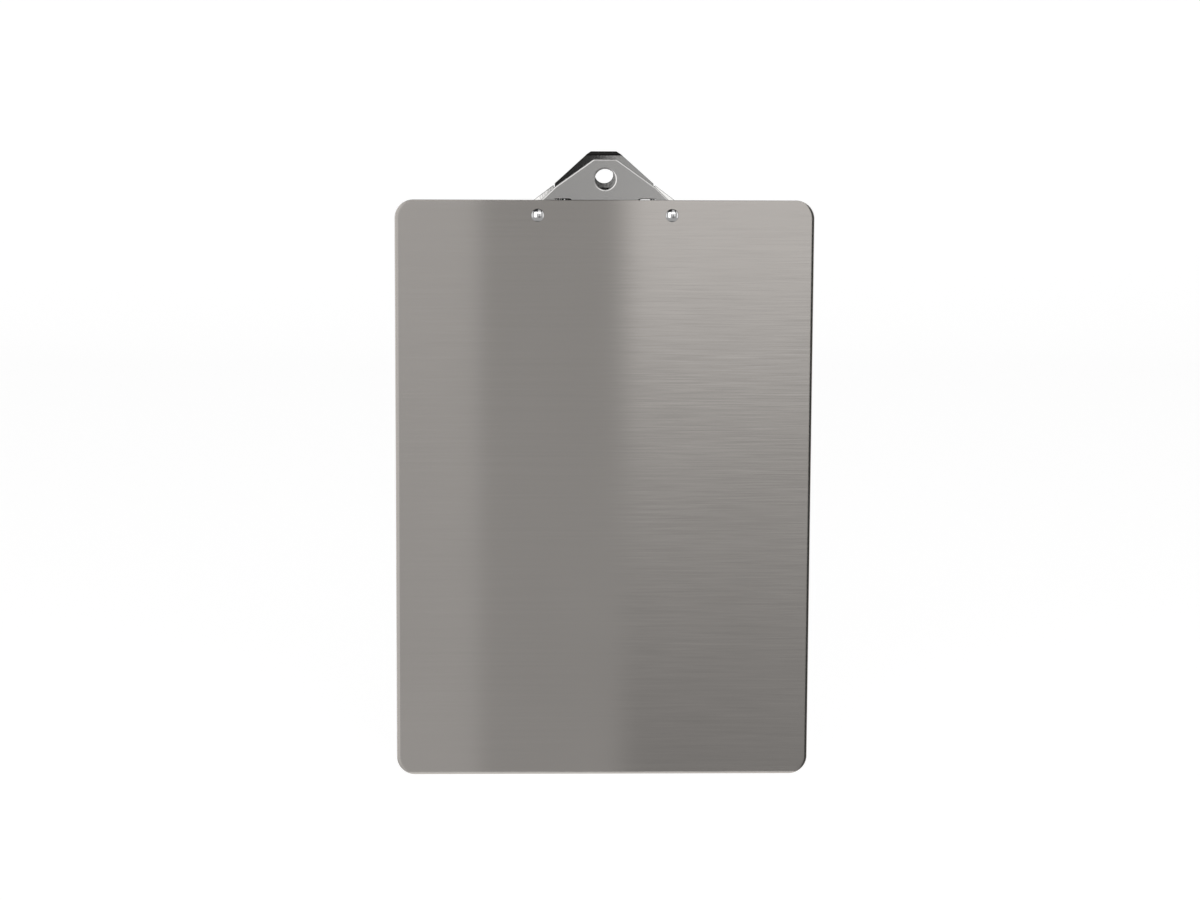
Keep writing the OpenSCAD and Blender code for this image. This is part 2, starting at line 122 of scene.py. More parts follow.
def shown_object(name, points, faces, normals, material, body, replaces=()):
    """An object from points in mm and faces, shaded with the given normals, riding on a body of the frame if one is
    named.
    """
    mesh = bpy.data.meshes.new(name)
    mesh.from_pydata((np.asarray(points) * MM).tolist(), [], np.asarray(faces).tolist())
    mesh.shade_smooth()
    mesh.normals_split_custom_set_from_vertices(np.asarray(normals).tolist())
    mesh.materials.append(material)
    piece = bpy.data.objects.new(name, mesh)
    bpy.context.scene.collection.objects.link(piece)
    if body:
        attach(piece, body)
    if replaces:
        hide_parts(*replaces)
    size = np.ptp(np.asarray(points), axis=0)
    print(f"{name}: {len(mesh.polygons)} faces, {size[0]:.1f} x {size[1]:.1f} x {size[2]:.1f} mm")
    return piece


def unit(vectors):
    """Each vector divided by its length."""
    vectors = np.asarray(vectors, float)
    return vectors / np.linalg.norm(vectors, axis=-1, keepdims=True)


def grid_faces(rows, columns, closed_columns=True):
    """Four-sided faces between the points of a grid, row after row, where each row may close on itself."""
    across = np.arange(columns if closed_columns else columns - 1)
    r, c = np.meshgrid(np.arange(rows - 1), across, indexing="ij")
    here, there = r * columns + c, r * columns + (c + 1) % columns
    return np.stack([here, here + columns, there + columns, there], axis=-1).reshape(-1, 4)


def halved(quads):
    """Each four-sided face as two triangles."""
    return np.concatenate([quads[:, [0, 1, 2]], quads[:, [0, 2, 3]]])


def outward(points, triangles):
    """The triangles, all turned round if they face into the metal.

    Six times the volume of a closed mesh is the sum, over its triangles, of the first corner times the cross product
    of the other two. It is above zero where the faces point outwards."""
    a, b, c = (points[triangles[:, k]] for k in range(3))
    return triangles if np.einsum("ij,ij->", a, np.cross(b, c)) > 0 else triangles[:, ::-1]


print("Three rings of eight points are joined by", len(grid_faces(3, 8)), "faces")

# %% [markdown]
# ## Outlines
# A pressed plate starts as an outline with round corners. Each corner is given by its place and radius. The points of
# its arc are found by turning one arrow through the corner's angle, and the same arrow is the direction that faces
# out of the metal there, which the rounded edge needs later.

# %% Outlines with round corners
def turned(vectors, angle):
    """Flat vectors turned anticlockwise by an angle in radians."""
    vectors = np.asarray(vectors, float)
    c, s = np.cos(angle), np.sin(angle)
    return np.stack([vectors[..., 0] * c - vectors[..., 1] * s, vectors[..., 0] * s + vectors[..., 1] * c], axis=-1)


def outline(corners, step=7.5):
    """Points, outward directions and marks of a closed outline that keeps the metal on its left.

    A corner is (x, y, radius), with a mark of 1 after them if it belongs to a tongue that will be folded. There the
    path turns by an angle. The arc's middle lies one radius to the inside of that turn, and each point of the arc is
    the middle plus or minus the radius times the outward direction, turned step by step."""
    points, facing, marks = [], [], []
    spots = np.array([corner[:2] for corner in corners], float)
    for i, (x, y, radius, *mark) in enumerate(corners):
        come = unit(spots[i] - spots[i - 1])
        leave = unit(spots[(i + 1) % len(spots)] - spots[i])
        angle = math.atan2(come[0] * leave[1] - come[1] * leave[0], come @ leave)
        away = np.array([come[1], -come[0]])
        side = 1 if angle > 0 else -1
        middle = spots[i] - come * radius * math.tan(abs(angle) / 2) - side * radius * away
        count = max(2, int(math.ceil(math.degrees(abs(angle)) / step)) + 1)
        arrows = turned(away, np.linspace(0, angle, count))
        points.append(middle + side * radius * arrows)
        facing.append(arrows)
        marks.append(np.full(count, mark[0] if mark else 0.0))
    return np.concatenate(points), np.concatenate(facing), np.concatenate(marks)


def round_hole(x, y, radius, count=64, squeeze=1.0, mark=0.0):
    """A round hole as an outline: clockwise, so that the metal is on its left. Squeeze narrows it along x."""
    a = np.linspace(0, -2 * math.pi, count, endpoint=False)
    arrows = np.stack([np.cos(a), np.sin(a)], axis=-1)
    return arrows * radius * [squeeze, 1] + [x, y], -arrows, np.full(count, mark)


def both_sides(right_half):
    """The whole list of corners of a symmetrical plate whose right half is listed from the bottom up."""
    return right_half + [(-x, y, radius) for x, y, radius in reversed(right_half)]


print("A plate with four round corners has", len(outline(both_sides([(9, 0, 1), (9, 9, 1)]))[0]), "outline points")

# %% [markdown]
# ## Plates with rounded edges
# A stamped edge is never knife sharp: the punch rolls it over on one side and tumbling rounds the other. On polished
# steel this thin round edge is what draws the bright outline in the photograph, so every plate gets one. The edge is
# a small profile of rings, set in from the outline and dropped through the thickness. The flat faces between the
# rings are filled with triangles.

# %% Flat patterns
ARC_STEPS = 6


def edge_rings(thickness, edge, roll_width=0.0, roll_depth=0.0):
    """Inset, height and tilt of the rings round a plate's edge, from its upper face to its lower face.

    Each face meets the edge in a quarter circle. With a roll, the face first sinks away slowly, with the square of
    the distance from where the roll begins."""
    quarter = np.linspace(0, math.pi / 2, ARC_STEPS)
    inset, drop, lean = edge * (1 - np.sin(quarter)), edge * (1 - np.cos(quarter)), quarter
    if roll_width:
        share = np.linspace(0, 1, ARC_STEPS)[:-1]
        slope = 2 * roll_depth / (roll_width - edge)
        inset = np.concatenate([roll_width - share * (roll_width - edge), inset])
        lean = np.concatenate([np.arctan(slope * share), np.maximum(lean, math.atan(slope))])
        drop = np.concatenate([roll_depth * share ** 2, roll_depth + drop * (1 - roll_depth / edge)])
    upper = np.stack([inset, thickness - drop, math.pi / 2 - lean], axis=-1)
    lower = np.stack([inset, drop, lean - math.pi / 2], axis=-1)[::-1]
    return np.concatenate([upper, lower])


def flat_plate(loops, rings_of_loops):
    """A closed plate in its flat state: points, triangles, directions and the marks of its folded tongues.

    Every loop is an outline with its outward directions. Its rings repeat it, set in and dropped, and the two
    faces are filled between the first rings and between the last."""
    points, faces, facing, marks, caps = [], [], [], [], []
    start = 0
    for (spots, arrows, mark), rings in zip(loops, rings_of_loops):
        count = len(spots)
        for inset, height, tilt in rings:
            points.append(np.column_stack([spots - arrows * inset, np.full(count, height)]))
            facing.append(np.column_stack([arrows * math.cos(tilt), np.full(count, math.sin(tilt))]))
            marks.append(mark)
        faces.append(grid_faces(len(rings), count) + start)
        caps.append((start, start + (len(rings) - 1) * count, count))
        start += len(rings) * count
    points, facing, marks = np.concatenate(points), np.concatenate(facing), np.concatenate(marks)
    rim = halved(np.concatenate(faces))
    rows = [np.arange(first, first + count) for first, last, count in caps]
    filled = tessellate_polygon([[Vector(points[i]) for i in row] for row in rows])
    top = np.concatenate(rows)[np.array(filled)]
    a, b, c = (points[top[:, k], :2] for k in range(3))
    down = (b[:, 0] - a[:, 0]) * (c[:, 1] - a[:, 1]) < (b[:, 1] - a[:, 1]) * (c[:, 0] - a[:, 0])
    top[down] = top[down][:, ::-1]
    to_last = np.zeros(len(points), int)
    for first, last, count in caps:
        to_last[first : first + count] = np.arange(last, last + count)
    return points, np.concatenate([rim, top, to_last[top][:, ::-1]]), facing, marks


print("Rings round a plain edge:", len(edge_rings(1.0, 0.3)), "and a rolled one:", len(edge_rings(1.0, 0.3, 2.6, 0.06)))

# %% [markdown]
# ## Cutting a plate where it bends
# A triangle that crosses a bend would stay flat there and cut its corner. So the flat pattern is first cut along a
# few lines through every bend. Blender's own bisect does this, and carries each point's direction and mark to the
# new points. It leaves some slivers, whose shading would show as a swirl, so their points are merged.

# %% Cuts for the bends
SLIVER_MM = 1e-3


def cut_along(plate, lines):
    """The plate with its faces cut along lines of constant x (axis 0) or y (axis 1), so that it can bend there."""
    points, triangles, facing, marks = plate
    mesh = bpy.data.meshes.new("flat_pattern")
    mesh.from_pydata(points.tolist(), [], triangles.tolist())
    mesh.attributes.new("facing", "FLOAT_VECTOR", "POINT").data.foreach_set("vector", facing.astype(np.float32).ravel())
    mesh.attributes.new("mark", "FLOAT", "POINT").data.foreach_set("value", marks.astype(np.float32))
    work = bmesh.new()
    work.from_mesh(mesh)
    for axis, value in lines:
        place, normal = [0, 0, 0], [0, 0, 0]
        place[axis], normal[axis] = value, 1
        everything = work.verts[:] + work.edges[:] + work.faces[:]
        bmesh.ops.bisect_plane(work, geom=everything, dist=1e-5, plane_co=place, plane_no=normal)
    bmesh.ops.triangulate(work, faces=work.faces[:])
    bmesh.ops.dissolve_degenerate(work, edges=work.edges[:], dist=SLIVER_MM)
    bmesh.ops.triangulate(work, faces=work.faces[:])
    work.to_mesh(mesh)
    work.free()
    count = len(mesh.vertices)
    points, facing = np.empty(3 * count, np.float32), np.empty(3 * count, np.float32)
    marks, triangles = np.empty(count, np.float32), np.empty(len(mesh.loops), np.int32)
    mesh.vertices.foreach_get("co", points)
    mesh.attributes["facing"].data.foreach_get("vector", facing)
    mesh.attributes["mark"].data.foreach_get("value", marks)
    mesh.loops.foreach_get("vertex_index", triangles)
    bpy.data.meshes.remove(mesh)
    return points.astype(float).reshape(-1, 3), triangles.reshape(-1, 3), unit(facing.reshape(-1, 3)), marks


def bend_lines(axis, start, end, every):
    """Cutting lines across one bend, about every so many millimetres."""
    count = max(1, int(round(abs(end - start) / every)))
    return [(axis, value) for value in np.linspace(start, end, count + 1)]


print("A bend of 1.6 mm is cut along", len(bend_lines(0, 0.0, 1.6, 0.14)), "lines")

# %% [markdown]
# ## Bending along a path
# A folded sheet follows a path of straight runs and round bends. A point of the flat pattern knows how far along the
# path it lies and how high above the sheet's middle it is, so its place is the path's point there plus that height
# along the path's side. Directions turn with it. One function does this for whole arrays of points.

# %% Paths of runs and bends
def bent_path(place, heading, pieces):
    """Start length, place, heading and curvature of each piece of a path.

    A piece is (length, 0) for a straight run, or (radius, degrees) for a bend, where a left turn is positive. On a
    bend the heading changes evenly, by one over the radius for each millimetre."""
    rows, length, place, heading = [], 0.0, np.array(place, float), math.radians(heading)
    for size, degrees in pieces:
        if degrees == 0:
            rows.append((length, *place, heading, 0.0))
            place = place + size * np.array([math.cos(heading), math.sin(heading)])
            length += size
        else:
            angle, curve = math.radians(degrees), math.copysign(1 / size, degrees)
            rows.append((length, *place, heading, curve))
            place = place + np.array([
                math.sin(heading + angle) - math.sin(heading),
                math.cos(heading) - math.cos(heading + angle),
            ]) / curve
            heading += angle
            length += size * abs(angle)
    rows.append((length, *place, heading, 0.0))
    return np.array(rows)


def along(path, lengths):
    """Places and headings at some lengths of a path. On a bend, the place is the integral of the turning heading."""
    row = np.clip(np.searchsorted(path[:, 0], lengths, side="right") - 1, 0, len(path) - 1)
    start, x, y, heading, curve = (path[row, k] for k in range(5))
    run = np.asarray(lengths) - start
    now = heading + curve * run
    safe = np.where(curve == 0, 1, curve)
    bent = np.stack([np.sin(now) - np.sin(heading), np.cos(heading) - np.cos(now)], axis=-1) / safe[:, None]
    straight = np.stack([np.cos(heading), np.sin(heading)], axis=-1) * run[:, None]
    return np.stack([x, y], axis=-1) + np.where(curve[:, None] == 0, straight, bent), now


def folded(path, lengths, heights, over, out, upper_side=1):
    """Places and directions of a sheet on a path, in the path's own plane.

    The sheet's upper side lies to the right of the path, or to its left for an upper side of -1. Heights are
    measured from the sheet's middle. Over is a direction's share along the path, and out its share upwards."""
    place, heading = along(path, lengths)
    forward = np.stack([np.cos(heading), np.sin(heading)], axis=-1)
    upper = np.stack([np.sin(heading), -np.cos(heading)], axis=-1) * upper_side
    return place + upper * heights[:, None], forward * over[:, None] + upper * out[:, None]


print("A square bend of radius 1 mm takes", round(float(bent_path((0, 0), 0, [(1.0, 90)])[-1, 0]), 2), "mm of sheet")

# %% [markdown]
# ## The stage
# The board stands on a white table, which runs back and sweeps up behind it, so that the picture's background is one
# even white. Polished steel shows whatever lies before it, and a white floor there would wash the board out. So the
# table that is reflected ends just in front of the board. A wide apron round it and a far wall keep the background
# white from every side, and both are left out of reflections.

# %% Table and backdrop
TABLE_FRONT, TABLE_BACK, TABLE_HALF = -0.005, 1.9, 2.6
SWEEP_R, BACKDROP_TOP = 0.6, 1.9
APRON_HALF, APRON_DROP = 12.0, 0.0005
WALL_R, WALL_FOOT, WALL_TOP, WALL_SIDES = 14.0, -1.0, 14.0, 64


def stage_sheet(name, points, faces):
    """A sheet of the studio, from points in metres and faces. It is no part of the product."""
    mesh = bpy.data.meshes.new(name)
    mesh.from_pydata(np.asarray(points).tolist(), [], np.asarray(faces).tolist())
    sheet = bpy.data.objects.new(name, mesh)
    bpy.context.scene.collection.objects.link(sheet)
    return sheet


def swept_sheet(name, profile, half_width):
    """A smooth sheet made by carrying a profile of (y, z) points straight along x."""
    rows = [np.column_stack([np.full(len(profile), x), profile]) for x in (-half_width, half_width)]
    sheet = stage_sheet(name, np.concatenate(rows), grid_faces(2, len(profile), False))
    sheet.data.shade_smooth()
    return sheet


table_top = cad_box[0][2] - 0.0002
sweep = np.linspace(0, math.pi / 2, 13)[1:]
table_profile = np.concatenate([
    [(TABLE_FRONT, table_top), (TABLE_BACK, table_top)],
    np.stack([TABLE_BACK + SWEEP_R * np.sin(sweep), table_top + SWEEP_R * (1 - np.cos(sweep))], axis=-1),
    [(TABLE_BACK + SWEEP_R, BACKDROP_TOP)],
])
table = swept_sheet("table", table_profile, TABLE_HALF)
apron_top = table_top - APRON_DROP
table_apron = swept_sheet("table_apron", [(-APRON_HALF, apron_top), (APRON_HALF, apron_top)], APRON_HALF)

around = np.linspace(0, 2 * math.pi, WALL_SIDES, endpoint=False)
ring = WALL_R * np.stack([np.cos(around), np.sin(around)], axis=-1)
wall_points = np.concatenate([np.column_stack([ring, np.full(WALL_SIDES, z)]) for z in (WALL_FOOT, WALL_TOP)])
far_wall = stage_sheet("far_wall", wall_points, grid_faces(2, WALL_SIDES))
far_wall.visible_diffuse = False
for sheet in (table_apron, far_wall):
    sheet.visible_glossy = sheet.visible_shadow = False
print("Table top at", round(table_top, 4), "m, reflected from 5 mm in front of the board on")

# %% [markdown]
# ## Small helpers for shader nodes
# A material is a graph of nodes. These helpers keep the graphs short to read: one adds a node with its settings,
# three name the steps that come again and again, and two start a material or a reusable group with named inputs and
# outputs.

# %% Node helpers
def add(tree, kind, settings=None, **sockets):
    """A new node of a kind. Settings are its properties, and sockets are values or links for its inputs by name."""
    node = tree.nodes.new(kind)
    for key, value in (settings or {}).items():
        setattr(node, key, value)
    for key, value in sockets.items():
        name = key.replace("_", " ")
        socket = node.inputs[int(key[1:])] if key[0] == "i" and key[1:].isdigit() else node.inputs[name]
        if isinstance(value, bpy.types.NodeSocket):
            tree.links.new(value, socket)
        else:
            socket.default_value = value
    return node


def math_node(tree, operation, a, b=0.0, clamp=False):
    """One step of arithmetic on values or links."""
    return add(tree, "ShaderNodeMath", {"operation": operation, "use_clamp": clamp}, i0=a, i1=b).outputs[0]


def vector_node(tree, operation, a, b=(0.0, 0.0, 0.0)):
    """One step of arithmetic on vectors."""
    return add(tree, "ShaderNodeVectorMath", {"operation": operation}, i0=a, i1=b).outputs[0]


def noise(tree, place, scale, detail, roughness=0.5):
    """A cloudy value from 0 to 1 at each place. The scale is in clouds to the unit."""
    return add(tree, "ShaderNodeTexNoise", Vector=place, Scale=scale, Detail=detail, Roughness=roughness).outputs["Fac"]


def new_group(name, inputs, outputs):
    """An empty node group, its input node and its output node. Inputs are (name, kind, default)."""
    group = bpy.data.node_groups.new(name, "ShaderNodeTree")
    for label, kind, default in inputs:
        socket = group.interface.new_socket(label, in_out="INPUT", socket_type=kind)
        if default is not None:
            socket.default_value = default
    for label, kind in outputs:
        group.interface.new_socket(label, in_out="OUTPUT", socket_type=kind)
    print(name, "takes", [row[0] for row in inputs], "and gives", [row[0] for row in outputs])
    return group, group.nodes.new("NodeGroupInput"), group.nodes.new("NodeGroupOutput")


def new_material(name):
    """An empty material with its output node."""
    material = bpy.data.materials.new(name)
    material.use_nodes = True
    material.node_tree.nodes.clear()
    return material, material.node_tree, material.node_tree.nodes.new("ShaderNodeOutputMaterial")


print("Node helpers are ready for", len(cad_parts), "CAD nodes to dress")


# %% [markdown]
# ## The white of the table
# A white background could come from more light, but that light would fall on the steel too. Here the table is a
# middle grey that is lit like everything else, plus a glow. Light Path tells which rays may see the glow: the
# camera's, and those that were mirrored by metal. So the ground is white in the picture and in the steel, while the
# faint shadow under the board stays and the object gets no extra light from below.

# %% White table
GLOW = 0.94

material, tree, output = new_material("table_white")
paths = add(tree, "ShaderNodeLightPath").outputs
seen = math_node(tree, "MAXIMUM", paths["Is Camera Ray"], paths["Is Glossy Ray"])
seen = math_node(tree, "MAXIMUM", seen, paths["Is Transmission Ray"])
speck = noise(tree, add(tree, "ShaderNodeTexCoord").outputs["Object"], 7.0, 3.0)
tone = add(tree, "ShaderNodeMapRange", Value=speck, To_Min=0.30, To_Max=0.31).outputs[0]
grey = add(tree, "ShaderNodeCombineColor", i0=tone, i1=tone, i2=tone).outputs[0]
matte = add(tree, "ShaderNodeBsdfDiffuse", Color=grey)
glow = add(tree, "ShaderNodeEmission", Strength=math_node(tree, "MULTIPLY", seen, GLOW))
both = add(tree, "ShaderNodeAddShader", i0=matte.outputs[0], i1=glow.outputs[0])
tree.links.new(both.outputs[0], output.inputs["Surface"])
for sheet in (table, table_apron, far_wall):
    sheet.data.materials.append(material)
print("The table's own grey is 0.30 to 0.31, and its glow", GLOW)

# %% [markdown]
# ## Softboxes
# Two tall softboxes stand behind the camera, side by side, and each fades to a plain grey near the other. In brushed
# steel each one becomes a broad upright band, and the grey between them becomes the darker band down the middle of
# the board. They are brighter higher up, where round edges and rivets see them as glints. A photographer would do
# this with a lamp and a graded cloth. Here a curve over the height and a ramp across do the same.

# %% Softboxes
FRONT = -1.9
STUDIO_GREY, CEILING_GREY = 0.46, 0.04
GREY_ENDS, CEILING_STARTS = 0.3, 1.2
BRIGHTEST = 4.0


def shine_forwards(tree, output, strength):
    """Light from the front of a face only: the strength, times one less Backfacing."""
    front = math_node(tree, "SUBTRACT", 1.0, add(tree, "ShaderNodeNewGeometry").outputs["Backfacing"])
    glow = add(tree, "ShaderNodeEmission", Strength=math_node(tree, "MULTIPLY", strength, front))
    tree.links.new(glow.outputs[0], output.inputs["Surface"])


def glowing_panel(name, corners, material):
    """A single face between four corners, lit on the side it faces, that the camera can't see."""
    panel = stage_sheet(name, corners, [(3, 2, 1, 0)])
    panel.data.materials.append(material)
    panel.visible_camera = False
    width, depth, height = np.ptp(np.array(corners), axis=0)
    print(f"{name}: {width:.2f} m wide, {depth:.2f} m deep, {height:.2f} m high")


def upright_corners(y, low, high):
    """The corners of an upright panel at y, from its low (x, z) to its high one."""
    return [(low[0], y, low[1]), (high[0], y, low[1]), (high[0], y, high[1]), (low[0], y, high[1])]


def softbox(name, low, high, side_fade, height_stops):
    """A glowing upright panel from low to high, in metres, that shines towards the board.

    Its strength is a curve over its height, given by (height, strength) stops. Towards one side it fades to the
    studio's grey, which turns to the ceiling's higher up."""
    material, tree, output = new_material(name + "_glow")
    place = add(tree, "ShaderNodeSeparateXYZ", Vector=add(tree, "ShaderNodeTexCoord").outputs["Object"]).outputs
    rise = add(tree, "ShaderNodeMapRange", Value=place["Z"], From_Min=low[1], From_Max=high[1]).outputs[0]
    curve = add(tree, "ShaderNodeFloatCurve", Value=rise)
    points = curve.mapping.curves[0].points
    while len(points) < len(height_stops):
        points.new(0.5, 0.5)
    for point, (stop, level) in zip(points, height_stops):
        point.location = ((stop - low[1]) / (high[1] - low[1]), level / BRIGHTEST)
        point.handle_type = "VECTOR"
    curve.mapping.update()
    side = add(tree, "ShaderNodeMapRange", {"interpolation_type": "SMOOTHSTEP"}, Value=place["X"],
               From_Min=side_fade[0], From_Max=side_fade[1]).outputs[0]
    strength = math_node(tree, "MULTIPLY", curve.outputs[0], BRIGHTEST)
    beside = add(tree, "ShaderNodeMapRange", Value=place["Z"], From_Min=GREY_ENDS, From_Max=CEILING_STARTS,
                 To_Min=STUDIO_GREY, To_Max=CEILING_GREY).outputs[0]
    faded = add(tree, "ShaderNodeMapRange", Value=side, To_Min=beside, To_Max=strength).outputs[0]
    shine_forwards(tree, output, faded)
    glowing_panel(name, upright_corners(FRONT, low, high), material)


softbox("softbox_right", (0.0, -1.1), (1.5, 1.5), (0.062, 0.106), [
    (-1.1, 0.30), (-0.79, 0.32), (-0.66, 0.40), (-0.49, 0.50), (-0.37, 0.59), (-0.26, 0.86), (-0.16, 1.0), (0.0, 0.90),
    (0.35, 0.80), (0.5, 1.8), (1.1, 1.8), (1.5, 0.8),
])
softbox("softbox_left", (-1.5, -1.1), (0.0, 1.5), (-0.072, -0.094), [
    (-1.1, 0.62), (-0.79, 0.57), (-0.60, 0.55), (-0.43, 0.58), (-0.26, 0.62), (-0.16, 0.66), (0.35, 0.66), (0.5, 2.2),
    (0.9, 2.2), (1.15, 0.6), (1.5, 0.3),
])

# %% [markdown]
# ## Cards
# The flat of the board sees only a small part of the room, but its rolled edges, the domed rivets and the folded clip
# see nearly all of it. Cards just before the softboxes serve them, as on a product photographer's table: bright
# strips on the left draw light lines along the edges there, a dark flag on the right keeps the edges there dark, and
# panels higher up light what slopes. Two strips stand at the sides, and one large panel hangs overhead.

# %% Cards and overhead light
CARD_Y = FRONT + 0.03
SIDE_X, OVERHEAD = 2.2, 2.5


def plain_card(name, corners, strength):
    """A panel of one even strength: a light, or a dark flag where the strength is low."""
    material, tree, output = new_material(name + "_glow")
    shine_forwards(tree, output, strength)
    glowing_panel(name, corners, material)


for name, low, high, strength in (
    ("strip_left", (-1.5, -0.9), (-0.42, 1.1), 2.2),
    ("flag_right", (0.40, -1.0), (0.62, 0.25), 0.05),
    ("softbox_high", (0.095, 1.5), (1.5, 3.2), 0.60),
    ("strip_edge", (-0.42, -0.9), (-0.24, 0.35), 0.85),
    ("softbox_middle", (-0.12, 0.45), (-0.005, 1.0), 2.2),
):
    plain_card(name, upright_corners(CARD_Y, low, high), strength)
for name, x, first, last in (("strip_right_side", SIDE_X, -1.7, -0.9), ("strip_left_side", -SIDE_X, -0.9, -1.7)):
    plain_card(name, [(x, first, -1.1), (x, last, -1.1), (x, last, 1.8), (x, first, 1.8)], 1.2)
plain_card("softbox_top", [(x, y, OVERHEAD) for x, y in ((-0.9, 0.15), (0.9, 0.15), (0.9, -1.6), (-0.9, -1.6))], 2.2)

# %% [markdown]
# ## The studio
# Whatever no panel covers is the room itself. A world background stands for it: one plain grey all round, darker
# towards the ceiling, because a dark ceiling keeps sheets that lean back from going flat and pale, and darker
# straight below. It has no pattern of its own, so the panels alone draw the lights and darks on the steel.

# %% Studio round it
world = bpy.data.worlds.new("studio")
world.use_nodes = True
bpy.context.scene.world = world
tree = world.node_tree
tree.nodes.clear()
direction = add(tree, "ShaderNodeTexCoord").outputs["Generated"]
height = add(tree, "ShaderNodeSeparateXYZ", Vector=direction).outputs["Z"]
share = add(tree, "ShaderNodeMapRange", Value=height, From_Min=-1.0, From_Max=1.0).outputs[0]
ramp = add(tree, "ShaderNodeValToRGB", Fac=share)
stops = [
    (0.0, 0.08), (0.04, 0.22), (0.09, STUDIO_GREY), (0.505, STUDIO_GREY), (0.56, 0.42), (0.66, 0.30),
    (0.82, CEILING_GREY),
]
while len(ramp.color_ramp.elements) < len(stops):
    ramp.color_ramp.elements.new(0.5)
for stop, (position, value) in zip(ramp.color_ramp.elements, stops):
    stop.position = position
    stop.color = (value, value, value, 1)
background = add(tree, "ShaderNodeBackground", Color=ramp.outputs[0])
tree.links.new(background.outputs[0], add(tree, "ShaderNodeOutputWorld").inputs["Surface"])
print("World from", stops[0][1], "below to", stops[-1][1], "overhead")

# %% [markdown]
# ## Steel finishes
# All metal here is steel, and what tells the pieces apart is how they were finished. The board was drawn through a
# belt of abrasive, which left thousands of fine level scratches. Each scratch is a tiny groove that leans the surface
# up or down but hardly sideways, so light is smeared up and down only. The group below leans the shading direction by
# a noise that is stretched along the scratches. It also gives two slow values, a streak and a cloud, for colour and
# roughness.

# %% Brushed lines group
WIDE_STREAKS = (0.25, 0.12, 0.12)

brushed, given, made = new_group(
    "brushed_lines",
    [("Vector", "NodeSocketVector", None), ("Length", "NodeSocketFloat", 0.03), ("Width", "NodeSocketFloat", 0.0004),
     ("Lean", "NodeSocketFloat", 0.2)],
    [("Normal", "NodeSocketVector"), ("Streak", "NodeSocketFloat"), ("Cloud", "NodeSocketFloat")],
)
per_width = math_node(brushed, "DIVIDE", 1.0, given.outputs["Width"])
per_length = math_node(brushed, "DIVIDE", 1.0, given.outputs["Length"])
stretch = add(brushed, "ShaderNodeCombineXYZ", X=per_length, Y=per_width, Z=per_width).outputs[0]
lines_at = vector_node(brushed, "MULTIPLY", given.outputs["Vector"], stretch)
fine = noise(brushed, lines_at, 1.0, 2.0, 0.6)
lean = math_node(brushed, "MULTIPLY", math_node(brushed, "SUBTRACT", fine, 0.5), given.outputs["Lean"])
offset = add(brushed, "ShaderNodeCombineXYZ", Z=lean).outputs[0]
surface = add(brushed, "ShaderNodeNewGeometry").outputs["Normal"]
leaned = vector_node(brushed, "NORMALIZE", vector_node(brushed, "ADD", surface, offset))
wide = noise(brushed, vector_node(brushed, "MULTIPLY", lines_at, WIDE_STREAKS), 1.0, 3.0, 0.6)
cloud = noise(brushed, given.outputs["Vector"], 9.0, 3.0)
for name, value in (("Normal", leaned), ("Streak", wide), ("Cloud", cloud)):
    brushed.links.new(value, made.inputs[name])

# %% [markdown]
# ## Handled metal
# Handling leaves its marks on every finish: a slightly duller cloud here, a finer polish there. This second group
# gives the clip's metal such slow changes in tone and roughness, and the faint orange-peel ripple of a tumbled and
# plated pressing.

# %% Handled metal group
handled, given, made = new_group(
    "handled_metal",
    [("Vector", "NodeSocketVector", None), ("Color", "NodeSocketColor", (0.6, 0.6, 0.6, 1)),
     ("Roughness", "NodeSocketFloat", 0.15), ("Change", "NodeSocketFloat", 0.04), ("Ripple", "NodeSocketFloat", 0.05)],
    [("Color", "NodeSocketColor"), ("Roughness", "NodeSocketFloat"), ("Normal", "NodeSocketVector")],
)
cloud = noise(handled, given.outputs["Vector"], 60.0, 4.0, 0.55)
swing = math_node(handled, "MULTIPLY", math_node(handled, "SUBTRACT", cloud, 0.5), given.outputs["Change"])
tone = math_node(handled, "ADD", 1.0, swing)
toned = add(handled, "ShaderNodeVectorMath", {"operation": "SCALE"}, i0=given.outputs["Color"], Scale=tone).outputs[0]
rough = math_node(handled, "SUBTRACT", given.outputs["Roughness"], swing, clamp=True)
peel = noise(handled, given.outputs["Vector"], 900.0, 2.0)
bump = add(handled, "ShaderNodeBump", Height=peel, Distance=0.0001, Strength=given.outputs["Ripple"]).outputs[0]
for name, value in (("Color", toned), ("Roughness", rough), ("Normal", bump)):
    handled.links.new(value, made.inputs[name])

# %% [markdown]
# ## Brushed stainless steel
# The board's steel could be one flat grey with a rough surface, but then it would look like paint. In steel that is
# brushed level, a reflection stays sharper from side to side than up and down. So the material is nearly smooth,
# fully anisotropic with its tangent upright, and leans with the fine lines. Two close tones follow the streaks and
# clouds.

# %% Board steel
STREAK_SHARE, CLOUD_SHARE = 0.4, 0.6
DARKER_STEEL, LIGHTER_STEEL = (0.472, 0.447, 0.423, 1), (0.520, 0.493, 0.467, 1)

